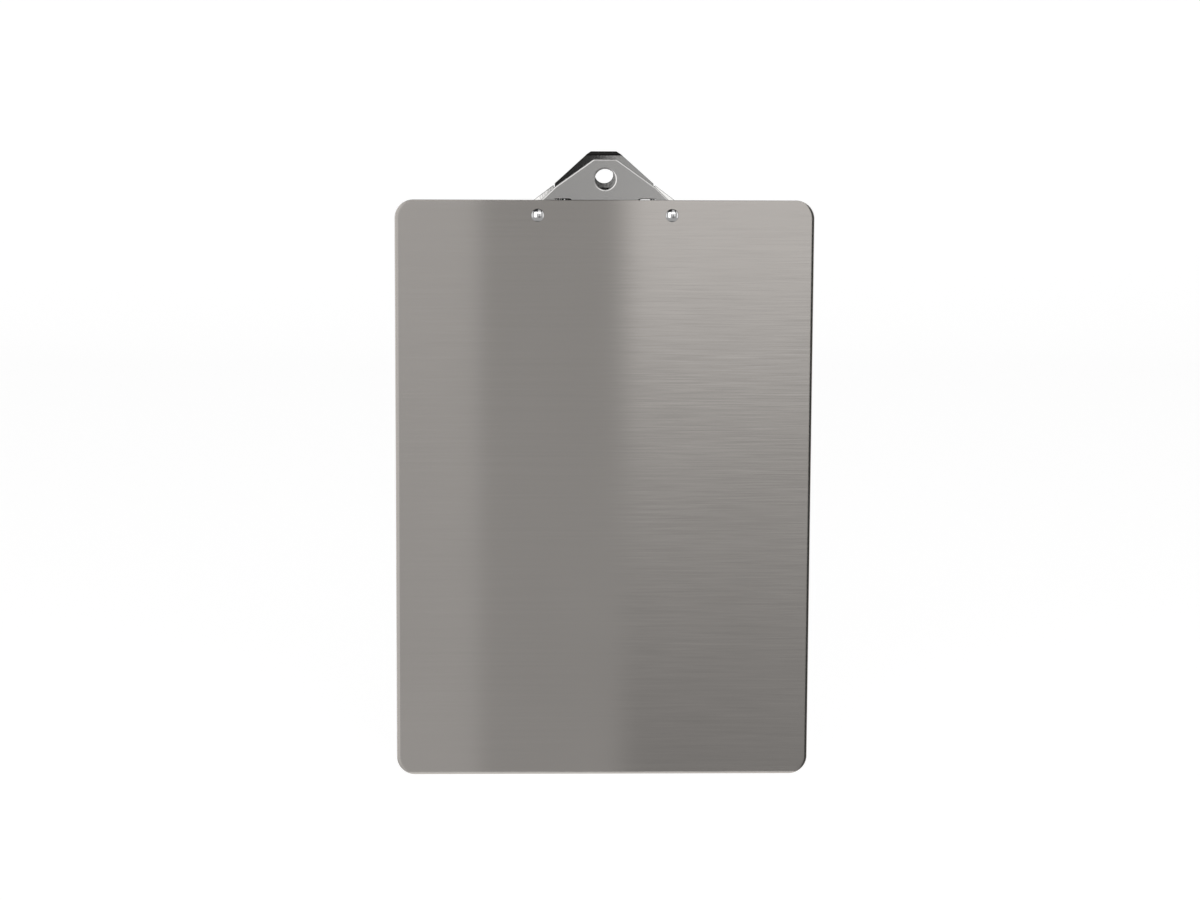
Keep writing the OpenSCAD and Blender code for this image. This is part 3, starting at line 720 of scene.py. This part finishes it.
board_steel, tree, output = new_material("board_steel_brushed")
place = add(tree, "ShaderNodeTexCoord").outputs["Object"]
lines = add(tree, "ShaderNodeGroup", {"node_tree": brushed}, Vector=place, Length=0.03, Width=0.00012, Lean=0.14)
mixed = math_node(tree, "ADD", math_node(tree, "MULTIPLY", lines.outputs["Streak"], STREAK_SHARE),
                  math_node(tree, "MULTIPLY", lines.outputs["Cloud"], CLOUD_SHARE))
shade = add(tree, "ShaderNodeValToRGB", Fac=mixed)
for stop, position, colour in zip(shade.color_ramp.elements, (0.25, 0.75), (DARKER_STEEL, LIGHTER_STEEL)):
    stop.position, stop.color = position, colour
rough = add(tree, "ShaderNodeMapRange", Value=lines.outputs["Streak"], To_Min=0.09, To_Max=0.11).outputs[0]
steel = add(tree, "ShaderNodeBsdfPrincipled", Metallic=1.0, Anisotropic=1.0, Roughness=rough,
            Normal=lines.outputs["Normal"], Tangent=add(tree, "ShaderNodeCombineXYZ", Z=1.0).outputs[0])
tree.links.new(shade.outputs[0], steel.inputs["Base Color"])
tree.links.new(steel.outputs[0], output.inputs["Surface"])
print("Board steel has", len(tree.nodes), "nodes")

# %% [markdown]
# ## Smooth steels
# The clip was pressed, tumbled and plated. Its base plate has a satin nickel that blurs what it reflects. The lever
# is brighter and sharper, so that it shows the cards as clear light and dark strips. Rivets are bright from their
# tool, the pin is plated dull, and the spring is wire as it was drawn. They differ in numbers only, so one function
# makes them all.

# %% Smooth steels
def smooth_steel(name, colour, roughness, change, ripple):
    """A plain bright steel with the marks of handling. Its tone, roughness and ripple come from the group."""
    material, tree, output = new_material(name)
    place = add(tree, "ShaderNodeTexCoord").outputs["Object"]
    marks = add(tree, "ShaderNodeGroup", {"node_tree": handled}, Vector=place, Color=(*colour, 1),
                Roughness=roughness, Change=change, Ripple=ripple)
    steel = add(tree, "ShaderNodeBsdfPrincipled", Metallic=1.0, Roughness=marks.outputs["Roughness"],
                Normal=marks.outputs["Normal"])
    tree.links.new(marks.outputs["Color"], steel.inputs["Base Color"])
    tree.links.new(steel.outputs[0], output.inputs["Surface"])
    return material


clip_steel = smooth_steel("clip_nickel_satin", (0.435, 0.428, 0.420), 0.20, 0.05, 0.10)
lever_steel = smooth_steel("lever_nickel_bright", (0.50, 0.494, 0.485), 0.055, 0.04, 0.05)
rivet_steel = smooth_steel("rivet_bright", (0.68, 0.68, 0.68), 0.09, 0.04, 0.05)
pin_steel = smooth_steel("pin_plated", (0.58, 0.575, 0.56), 0.24, 0.10, 0.15)
spring_steel = smooth_steel("spring_wire_drawn", (0.42, 0.415, 0.405), 0.27, 0.14, 0.20)
print("Finishes:", [m.name for m in (board_steel, clip_steel, lever_steel, rivet_steel, pin_steel, spring_steel)])

# %% [markdown]
# ## The board
# The board is a blank stamped from a 1 mm sheet, 225 by 315 mm, with corners of 10 mm. The punch draws the surface
# down a little along the whole edge, so the last two or three millimetres lean outwards, by up to three degrees.
# That is enough to show another part of the studio there, and it draws the light band along the board's sides in the
# photograph.

# %% Board sheet
BOARD_CORNER_R = 10.0


def upright(points, facing, back):
    """A flat pattern stood up: its y becomes the height z, and its thickness grows away from back along y."""
    return (np.column_stack([points[:, 0], back + points[:, 2], points[:, 1]]),
            np.column_stack([facing[:, 0], facing[:, 2], facing[:, 1]]))


low, high = (np.array(corner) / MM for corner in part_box("board_panel"))
board_corners = [(high[0], low[2], BOARD_CORNER_R), (high[0], high[2], BOARD_CORNER_R)]
rings = edge_rings(high[1] - low[1], edge=0.3, roll_width=2.6, roll_depth=0.06)
points, triangles, facing, _ = flat_plate([outline(both_sides(board_corners), step=3.0)], [rings])
points, facing = upright(points, facing, low[1])
shown_object("board_sheet", points, outward(points, triangles), facing, board_steel, "board",
             replaces=("board_panel",))

# %% [markdown]
# ## The clip's base plate
# The base plate lies on the board's front and rises above its top edge, where the hang hole is. Two ears are cut free
# on three sides, which leaves a U-shaped slit each, and folded up square to carry the pin. In the flat pattern the
# slit is a hole. The points on its tongue's side are marked, so that only the tongue follows the fold.
#
# Heights are counted from the middle of the hang hole, where the frame has its origin. The board's top edge lies
# 11 mm below it and the pin 14 mm.

# %% Folding tongues
def slit(fold_x, tongue_x, slot_x, half_width, gap, radius, at_y):
    """A U-shaped slit as a hole: the tongue's outline out, and a larger one back. Both end at the fold."""
    outer, end_radius = half_width + gap, 0.4 * gap
    corners = [
        (fold_x, at_y + outer, end_radius, 0), (fold_x, at_y + half_width, end_radius, 1),
        (tongue_x, at_y + half_width, radius, 1), (tongue_x, at_y - half_width, radius, 1),
        (fold_x, at_y - half_width, end_radius, 1), (fold_x, at_y - outer, end_radius, 0),
        (slot_x, at_y - outer, radius, 0), (slot_x, at_y + outer, radius, 0),
    ]
    return outline(corners if fold_x > 0 else corners[::-1])


def fold_tongues(plate, fold_x, tongue_x, leg, radius, thickness, up):
    """The plate with its marked tongues folded square, upwards for an up of 1 and downwards for -1.

    The fold keeps its length, and the flat rest of the tongue is drawn out to the leg's length, as the punch
    thins the metal there. The left tongue is the right one's mirror image."""
    points, triangles, facing, marks = plate
    tongue = (marks > 1e-6) & (np.abs(points[:, 0]) < fold_x)
    x, y, height = points[tongue].T
    side, bend = np.sign(x), radius * math.pi / 2
    run = fold_x - np.abs(x)
    drawn = leg / (fold_x - tongue_x - bend)
    path = bent_path((fold_x, thickness / 2), 180, [(radius, -90 * up)])
    run = np.where(run < bend, run, bend + (run - bend) * drawn)
    place, arrow = folded(path, run, height - thickness / 2, -side * facing[tongue, 0], facing[tongue, 2])
    points, facing = points.copy(), facing.copy()
    points[tongue] = np.column_stack([side * place[:, 0], y, place[:, 1]])
    facing[tongue] = np.column_stack([side * arrow[:, 0], facing[tongue, 1], arrow[:, 1]])
    return points, triangles, facing, marks


print("A slit's outline has", len(slit(27.4, 17.4, 17.2, 3.5, 0.2, 2.2, 0.0)[0]), "points")

# %% [markdown]
# The plate is small and is punched in one hard blow, so its outline and its hang hole are rolled over more than the
# board is. The slits are only cut, and keep a crisp edge. The hole for the pin is squeezed in the flat pattern, by as
# much as the tongue is drawn out afterwards, so that it ends up round.

# %% Clip base plate
SHEET, LANCE_GAP, FOLD_R, FOLD_STEP = 1.0, 0.2, 1.0, 0.14
FOLD_RUN = FOLD_R * math.pi / 2
EDGE_Z = -11.0
PIN_H, PIN_Z, PIN_HOLE_R = 6.5, -14.0, 1.55
PIN_Y = SHEET + PIN_H
HANG_HOLE_R = 5.5
BASE_FOLD_X, BASE_TONGUE_X, BASE_SLOT_X, BASE_LEG = 27.4, 17.4, 17.2, 9.7


def ear_cuts(fold_x):
    """Cutting lines through the folds of both ears."""
    return [line for side in (1, -1) for line in bend_lines(0, side * fold_x, side * (fold_x - FOLD_RUN), FOLD_STEP)]


base_loops = [
    outline(both_sides([
        (44, EDGE_Z - 26, 3), (44, EDGE_Z - 9.4, 4), (26.7, EDGE_Z + 7.1, 4), (6.1, EDGE_Z + 21.8, 1.5),
    ])),
    round_hole(0, 0, HANG_HOLE_R),
]
drawn_out = BASE_LEG / (BASE_FOLD_X - BASE_TONGUE_X - FOLD_RUN)
pin_x = BASE_FOLD_X - FOLD_RUN - (PIN_Y - SHEET / 2 - FOLD_R) / drawn_out
for side in (1, -1):
    base_loops.append(slit(side * BASE_FOLD_X, side * BASE_TONGUE_X, side * BASE_SLOT_X, 3.5, LANCE_GAP, 2.2, PIN_Z))
    base_loops.append(round_hole(side * pin_x, PIN_Z, PIN_HOLE_R, squeeze=1 / drawn_out, mark=1))
rolled, lanced = edge_rings(SHEET, edge=0.4, roll_width=1.1, roll_depth=0.1), edge_rings(SHEET, edge=0.15)
plate = cut_along(flat_plate(base_loops, [rolled, rolled] + 4 * [lanced]), ear_cuts(BASE_FOLD_X))
plate = fold_tongues(plate, BASE_FOLD_X, BASE_TONGUE_X, BASE_LEG, FOLD_R, SHEET, up=1)
points, facing = upright(plate[0], plate[2], 0.0)
shown_object("clip_base_plate", points, outward(points, plate[1]), facing, clip_steel, "board",
             replaces=("clip_base",))

# %% [markdown]
# ## The lever
# The lever is one pressed sheet too. Its flat pattern is cut along two short slits, so that the narrow handle can
# bend up while the broad shoulders beside it stay in the roof's plane. Below, the roof bends down into the jaw, whose
# free edge is rolled outwards. Above, the handle ends in a small thumb lip. Two ears are folded down onto the pin.
#
# Seen from its edge, the sheet is two paths, one from the shoulders' tips down to the jaw and one from the pin up to
# the lip. LEVER_N is how far its near side lies off the pin's axis. The jaw's straight part is as long as it takes to
# come down to the base plate.

# %% Lever's paths
LEVER_N, LEVER_TILT = 4.685, math.radians(12)
ROOF, SHOULDER, SHOULDER_TIP = 10.0, 5.9, 11.5
JAW_BEND, JAW_BEND_R, JAW_ROLL, JAW_ROLL_R, JAW_GAP = 48, 5.0, 100, 1.5, 0.3
HANDLE_START, HANDLE_BEND, HANDLE_BEND_R, HANDLE_LEN = 6.0, 14, 2.0, 22
LIP_BEND, LIP_BEND_R, LIP_LEN = 34, 1.0, 3

jaw_bend = math.radians(JAW_BEND)
jaw_slope = LEVER_TILT + jaw_bend
bend_out = LEVER_N - JAW_BEND_R * (1 - math.cos(jaw_bend))
bend_down = ROOF + JAW_BEND_R * math.sin(jaw_bend)
bend_height = PIN_H + bend_out * math.cos(LEVER_TILT) - bend_down * math.sin(LEVER_TILT)
jaw_run = (bend_height - (JAW_ROLL_R + SHEET) * (1 - math.cos(jaw_slope)) - JAW_GAP) / math.sin(jaw_slope)
half_sheet = SHEET / 2
roof_path = bent_path((LEVER_N + half_sheet, SHOULDER_TIP), -90, [
    (SHOULDER_TIP + ROOF, 0), (JAW_BEND_R + half_sheet, -JAW_BEND), (jaw_run, 0), (JAW_ROLL_R + half_sheet, JAW_ROLL),
])
handle_path = bent_path((LEVER_N + half_sheet, 0), 90, [
    (HANDLE_START, 0), (HANDLE_BEND_R + half_sheet, -HANDLE_BEND), (HANDLE_LEN, 0),
    (LIP_BEND_R + half_sheet, -LIP_BEND), (LIP_LEN, 0),
])
jaw_end = SHOULDER_TIP - roof_path[-1, 0]
handle_run, lip_start, lip_end = handle_path[2, 0], handle_path[3, 0], handle_path[-1, 0]
print("Lever blank from", round(jaw_end, 2), "to", round(lip_end, 2), "mm along its middle")

# %% [markdown]
# The blank is cut along every bend, its ears are folded, and then each point goes to its place on one of the paths.

# %% Lever
JAW_HALF, NECK_HALF, TIP_HALF, LIP_HALF = 50, 26.7, 10.3, 7
SHEAR, NECK_LEN, LIP_STEP = 0.4, 5.9, 0.7
HOLE_RUN, HOLE_R = 11, 4.9
LEVER_FOLD_X, LEVER_TONGUE_X, LEVER_SLOT_X, LEVER_EAR_R = 26.0, 17.9, 17.7, 3.4

ear_middle = LEVER_N + SHEET / 2 - FOLD_R
lever_leg = ear_middle + LEVER_EAR_R
lever_loops = [outline(both_sides([
    (JAW_HALF, jaw_end, 2), (JAW_HALF, -SHOULDER, 4), (NECK_HALF + SHEAR, SHOULDER_TIP, 0.4),
    (NECK_HALF + SHEAR, HANDLE_START, 0.19), (NECK_HALF, HANDLE_START, 0.19), (NECK_HALF, handle_run + NECK_LEN, 0.4),
    (TIP_HALF, lip_start, 0.35), (TIP_HALF - LIP_STEP, lip_start + 0.73, 0.35), (LIP_HALF, lip_end, 1.0),
])), round_hole(0, handle_run + HOLE_RUN, HOLE_R)]
drawn_out = lever_leg / (LEVER_FOLD_X - LEVER_TONGUE_X - FOLD_RUN)
pin_x = LEVER_FOLD_X - FOLD_RUN - ear_middle / drawn_out
for side in (1, -1):
    slit_x = [side * x for x in (LEVER_FOLD_X, LEVER_TONGUE_X, LEVER_SLOT_X)]
    lever_loops.append(slit(*slit_x, LEVER_EAR_R, LANCE_GAP, 3.0, 0.0))
    lever_loops.append(round_hole(side * pin_x, 0, PIN_HOLE_R, squeeze=1 / drawn_out, mark=1))
cuts = ear_cuts(LEVER_FOLD_X)
for row, every in ((1, 0.6), (3, 0.25)):
    cuts += bend_lines(1, SHOULDER_TIP - roof_path[row, 0], SHOULDER_TIP - roof_path[row + 1, 0], every)
for row in (1, 3):
    cuts += bend_lines(1, handle_path[row, 0], handle_path[row + 1, 0], 0.15)
plate = cut_along(flat_plate(lever_loops, [edge_rings(SHEET, edge=0.3)] * len(lever_loops)), cuts)
points, triangles, facing, _ = fold_tongues(plate, LEVER_FOLD_X, LEVER_TONGUE_X, lever_leg, FOLD_R, SHEET, up=-1)


def pressed_lever(points, facing):
    """The lever's blank bent to shape, in the frame: the handle follows one path, the roof and jaw another.

    A path's plane holds the distance off the pin and the way up the roof. Tilting that plane about the pin by the
    lever's angle puts it in the frame."""
    x, up_roof, height = points.T
    height = height - SHEET / 2
    handle = (up_roof > HANDLE_START) & (np.abs(x) < NECK_HALF + SHEAR / 2)
    place, arrow = folded(roof_path, SHOULDER_TIP - up_roof, height, -facing[:, 1], facing[:, 2], upper_side=-1)
    on_handle = folded(handle_path, up_roof, height, facing[:, 1], facing[:, 2])
    place[handle], arrow[handle] = on_handle[0][handle], on_handle[1][handle]
    c, s = math.cos(LEVER_TILT), math.sin(LEVER_TILT)
    spots = np.column_stack([x, PIN_Y + place[:, 0] * c + place[:, 1] * s, PIN_Z - place[:, 0] * s + place[:, 1] * c])
    return spots, np.column_stack([facing[:, 0], arrow[:, 0] * c + arrow[:, 1] * s, arrow[:, 1] * c - arrow[:, 0] * s])


points, facing = pressed_lever(points, facing)
shown_object("lever_pressing", points, outward(points, triangles), facing, lever_steel, "lever",
             replaces=("lever",))

# %% [markdown]
# ## Turned pieces
# Rivets and pins are round about an axis, so each is a profile of (radius, place along the axis) carried once round.
# Where the profile meets the axis there is a single point, and a fan of triangles closes the end.

# %% Turning a profile
def arc(x, y, radius, start, end, count):
    """Points on a circle between two angles in degrees."""
    a = np.radians(np.linspace(start, end, count))
    return np.stack([x + radius * np.cos(a), y + radius * np.sin(a)], axis=-1)


def low_dome(radius, rise, start, stop_short, count):
    """A shallow dome's profile from the axis out, whose top lies at start.

    A cap with that radius and rise is part of a ball of radius (radius squared plus rise squared) over twice the
    rise. It ends a few degrees short, where the rim's rounding takes over."""
    ball = (radius ** 2 + rise ** 2) / (2 * rise)
    a = np.radians(np.linspace(0, math.degrees(math.asin(radius / ball)) - stop_short, count))
    return np.stack([ball * np.sin(a), start + ball * (1 - np.cos(a))], axis=-1)


def capped_tube(rings, around):
    """Triangles of a tube of rings that a fan closes at each end, onto the last two points of all."""
    here, there = np.arange(around), (np.arange(around) + 1) % around
    last, tip = (rings - 1) * around, rings * around
    first_fan = np.column_stack([np.full(around, tip), here, there])
    last_fan = np.column_stack([np.full(around, tip + 1), there + last, here + last])
    return np.concatenate([halved(grid_faces(rings, around)), first_fan, last_fan])


def turned_piece(name, profile, centre, axis, material, replaces, around=72):
    """A profile of (radius, along) carried round an axis, with a single point where it meets the axis.

    A ring's point is the centre, plus its place along the axis, plus its radius towards the angle. The direction it
    faces is square to the profile: its share outwards is the step along, and its share along is minus the step out."""
    profile, axis = np.array(profile, float), np.array(axis, float)
    first = np.array([0.0, 0.0, 1.0])
    second = np.cross(axis, first)
    step = unit(np.gradient(profile, axis=0))
    a = np.linspace(0, 2 * math.pi, around, endpoint=False)
    ray = np.cos(a)[:, None] * first + np.sin(a)[:, None] * second
    rings = profile[1:-1]
    points = np.concatenate([
        (centre + rings[:, None, 1:] * axis + rings[:, None, :1] * ray).reshape(-1, 3),
        centre + profile[[0, -1], 1:] * axis,
    ])
    facing = np.concatenate([
        (-step[1:-1, None, :1] * axis + step[1:-1, None, 1:] * ray).reshape(-1, 3),
        [-axis, axis],
    ])
    triangles = outward(points, capped_tube(len(rings), around))
    return shown_object(name, points, triangles, unit(facing), material, "board", replaces)


print("A tube of 3 rings of 8 points closes with", len(capped_tube(3, 8)), "triangles")

# %% [markdown]
# ## Rivets
# The rivets are semi-tubular: a solid shank with a domed head on the board's back, and a hollow tail that a tool
# rolls over on the base plate. The profile runs from the dome's top over its rim, along the shank, round the rolled
# tail and down into the hollow. The dome is one smooth curve, because the glint on it is what the photograph shows.

# %% Rivets
HEAD_R, HEAD_RISE, HEAD_TOP, HEAD_SEAT, RIM_R = 3.5, 1.1, -2.4, -1.02, 0.14
SHANK_R, BORE_R, TAIL_ROLL_R, BORE_FLOOR = 1.8, 1.1, 0.85, -0.5
RIVET_X, RIVET_Z = 36.0, EDGE_Z - 8.2

rivet_profile = np.concatenate([
    low_dome(HEAD_R, HEAD_RISE, HEAD_TOP, 2.0, 16),
    arc(HEAD_R - RIM_R, HEAD_SEAT - RIM_R, RIM_R, -50, 90, 7), [(SHANK_R, HEAD_SEAT + 0.01), (SHANK_R, SHEET)],
    arc(BORE_R + TAIL_ROLL_R, SHEET + TAIL_ROLL_R, TAIL_ROLL_R, -75, 180, 25),
    [(BORE_R, SHEET), (BORE_R, BORE_FLOOR + 0.1), (BORE_R - 0.06, BORE_FLOOR), (0.0, BORE_FLOOR)],
])
for name, x in (("rivet_left", -RIVET_X), ("rivet_right", RIVET_X)):
    turned_piece(name + "_turned", rivet_profile, np.array([x, 0, RIVET_Z]), (0, 1, 0), rivet_steel,
                 (name,))

# %% [markdown]
# ## The hinge pin
# The pin is a plain rod through all four ears. Its ends were hammered into low heads, so that it can't slide out. Both
# ends are alike, so half a profile is made and mirrored.

# %% Hinge pin
PIN_R, PIN_END, PEEN_R, PEEN_RISE, PEEN_FOOT, PEEN_RIM_R = 1.5, 27.85, 2.3, 0.45, 26.95, 0.1

pin_half = np.concatenate([
    low_dome(PEEN_R, PEEN_RISE, -PIN_END, 1.5, 9),
    arc(PEEN_R - PEEN_RIM_R, PEEN_RISE + PEEN_RIM_R - PIN_END, PEEN_RIM_R, -50, 0, 4),
    arc(PEEN_R - PEEN_RIM_R, -PEEN_FOOT - PEEN_RIM_R, PEEN_RIM_R, 0, 90, 5),
    [(PIN_R + 0.05, -PEEN_FOOT), (PIN_R, 0.05 - PEEN_FOOT)],
])
pin_profile = np.concatenate([pin_half, (pin_half * [1, -1])[::-1]])
turned_piece("hinge_pin_peened", pin_profile, np.array([0, PIN_Y, PIN_Z]), (1, 0, 0), pin_steel,
             ("hinge_pin",), 48)

# %% [markdown]
# ## The spring
# The spring is one drawn wire: a loop rests on the base plate, a leg runs up from each of its ends to a coil of two
# turns round the pin, and each coil ends in a leg that pushes on the handle. Its path is worked out from the same
# sizes as in the CAD, only with more points. One half is made and mirrored, and the whole is then pushed along the
# pin, because a spring that floats on its pin ends up against one ear.

# %% Spring's path
WIRE_R, COIL_R, COIL_TURNS, TURN_PITCH = 0.65, 3.0, 2, 1.8
SPRING_GAP, SPRING_HALF, LEVER_EAR_X = 0.2, 20.5, 24.5
HANDLE_LEG, LOOP_BEND_R, LOOP_HOLE_GAP = 6.5, 3.0, 0.5


def touch_angle(place, side):
    """The angle at which a straight leg from a place touches the coil's circle."""
    return math.atan2(place[1], place[0]) + side * math.acos(COIL_R / math.hypot(*place))


def beside_pin(x, place):
    """A point of the frame at x, from its place up the board and out from it, both measured from the pin."""
    return np.array([x, PIN_Y + place[1], PIN_Z + place[0]])


def between(start, end, count):
    """Points on the straight line from start to end, without its ends."""
    return start + np.linspace(0, 1, count + 2)[1:-1, None] * (end - start)


leg_n = LEVER_N - WIRE_R - SPRING_GAP
handle_leg_end = (HANDLE_LEG * math.cos(LEVER_TILT) - leg_n * math.sin(LEVER_TILT),
                  HANDLE_LEG * math.sin(LEVER_TILT) + leg_n * math.cos(LEVER_TILT))
loop_end = (-HANG_HOLE_R - LOOP_HOLE_GAP - WIRE_R - PIN_Z, WIRE_R + SPRING_GAP - PIN_H)
first_turn = touch_angle(handle_leg_end, 1)
last_turn = touch_angle(loop_end, -1) + 2 * math.pi * (COIL_TURNS + 1)
coil_len = TURN_PITCH * (last_turn - first_turn) / (2 * math.pi)
coil_out = SPRING_HALF - WIRE_R
coil_in = coil_out - coil_len
share = np.linspace(0, 1, 121)
angle = last_turn + share * (first_turn - last_turn)
coil = np.column_stack([coil_in + share * coil_len, PIN_Y + COIL_R * np.sin(angle), PIN_Z + COIL_R * np.cos(angle)])
corner, leg_end = beside_pin(coil_in, loop_end), beside_pin(coil_out, handle_leg_end)
leg_run, inward = unit(coil[0] - corner), np.array([1.0, 0, 0])
a = np.radians(np.linspace(0, 90, 13))[:, None]
round_corner = corner + LOOP_BEND_R * (leg_run * (1 - np.cos(a)) - inward * (1 - np.sin(a)))
half = np.concatenate([
    round_corner, between(round_corner[-1], coil[0], 7), coil, between(coil[-1], leg_end, 7), [leg_end],
])
bridge = between(half[0] * [-1, 1, 1], half[0], 7)
spring_path = np.concatenate([(half * [-1, 1, 1])[::-1], bridge, half])
spring_path += [SPRING_GAP + SPRING_HALF - LEVER_EAR_X, 0, 0]
wire_length = np.linalg.norm(np.diff(spring_path, axis=0), axis=1).sum()
print("Spring's wire is", round(float(wire_length), 1), "mm long")

# %% [markdown]
# The wire is a circle carried along that path, kept from twisting by turning it as little as possible from ring to
# ring. It rides on no body of the frame and stays where it is made.

# %% Spring's wire
END_SHARES = np.array([0.55, 0.85, 0.97, 1.0])


def wire(path, radius, sides=16):
    """A round wire along a path: each ring is a circle in the plane square to the path's step there.

    The first direction of each ring is the last ring's, less its share along the new step. The rings at both ends
    are smaller by the end shares, which rounds the cut ends."""
    step = unit(np.gradient(path, axis=0))
    normals = np.empty_like(path)
    normals[0] = unit(np.cross(step[0], [0.3, 0.5, 0.8]))
    for i in range(1, len(path)):
        normals[i] = unit(normals[i - 1] - step[i] * (normals[i - 1] @ step[i]))
    thick = np.full(len(path), radius)
    thick[:4] *= END_SHARES
    thick[-4:] *= END_SHARES[::-1]
    a = np.linspace(0, 2 * math.pi, sides, endpoint=False)
    ray = np.cos(a)[:, None] * normals[:, None] + np.sin(a)[:, None] * np.cross(step, normals)[:, None]
    points = np.concatenate([(path[:, None] + thick[:, None, None] * ray).reshape(-1, 3), path[[0, -1]]])
    return points, capped_tube(len(path), sides), np.concatenate([ray.reshape(-1, 3), [-step[0], step[-1]]])


near_end = np.array([0, 0.04, 0.12])[:, None]
start = spring_path[0] + near_end * (spring_path[1] - spring_path[0])
finish = spring_path[-1] + near_end[::-1] * (spring_path[-2] - spring_path[-1])
points, triangles, facing = wire(np.concatenate([start, spring_path[1:-1], finish]), WIRE_R)
spring = shown_object("torsion_spring_wire", points, outward(points, triangles), unit(facing), spring_steel, None,
                      replaces=("torsion_spring",))
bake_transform(spring)
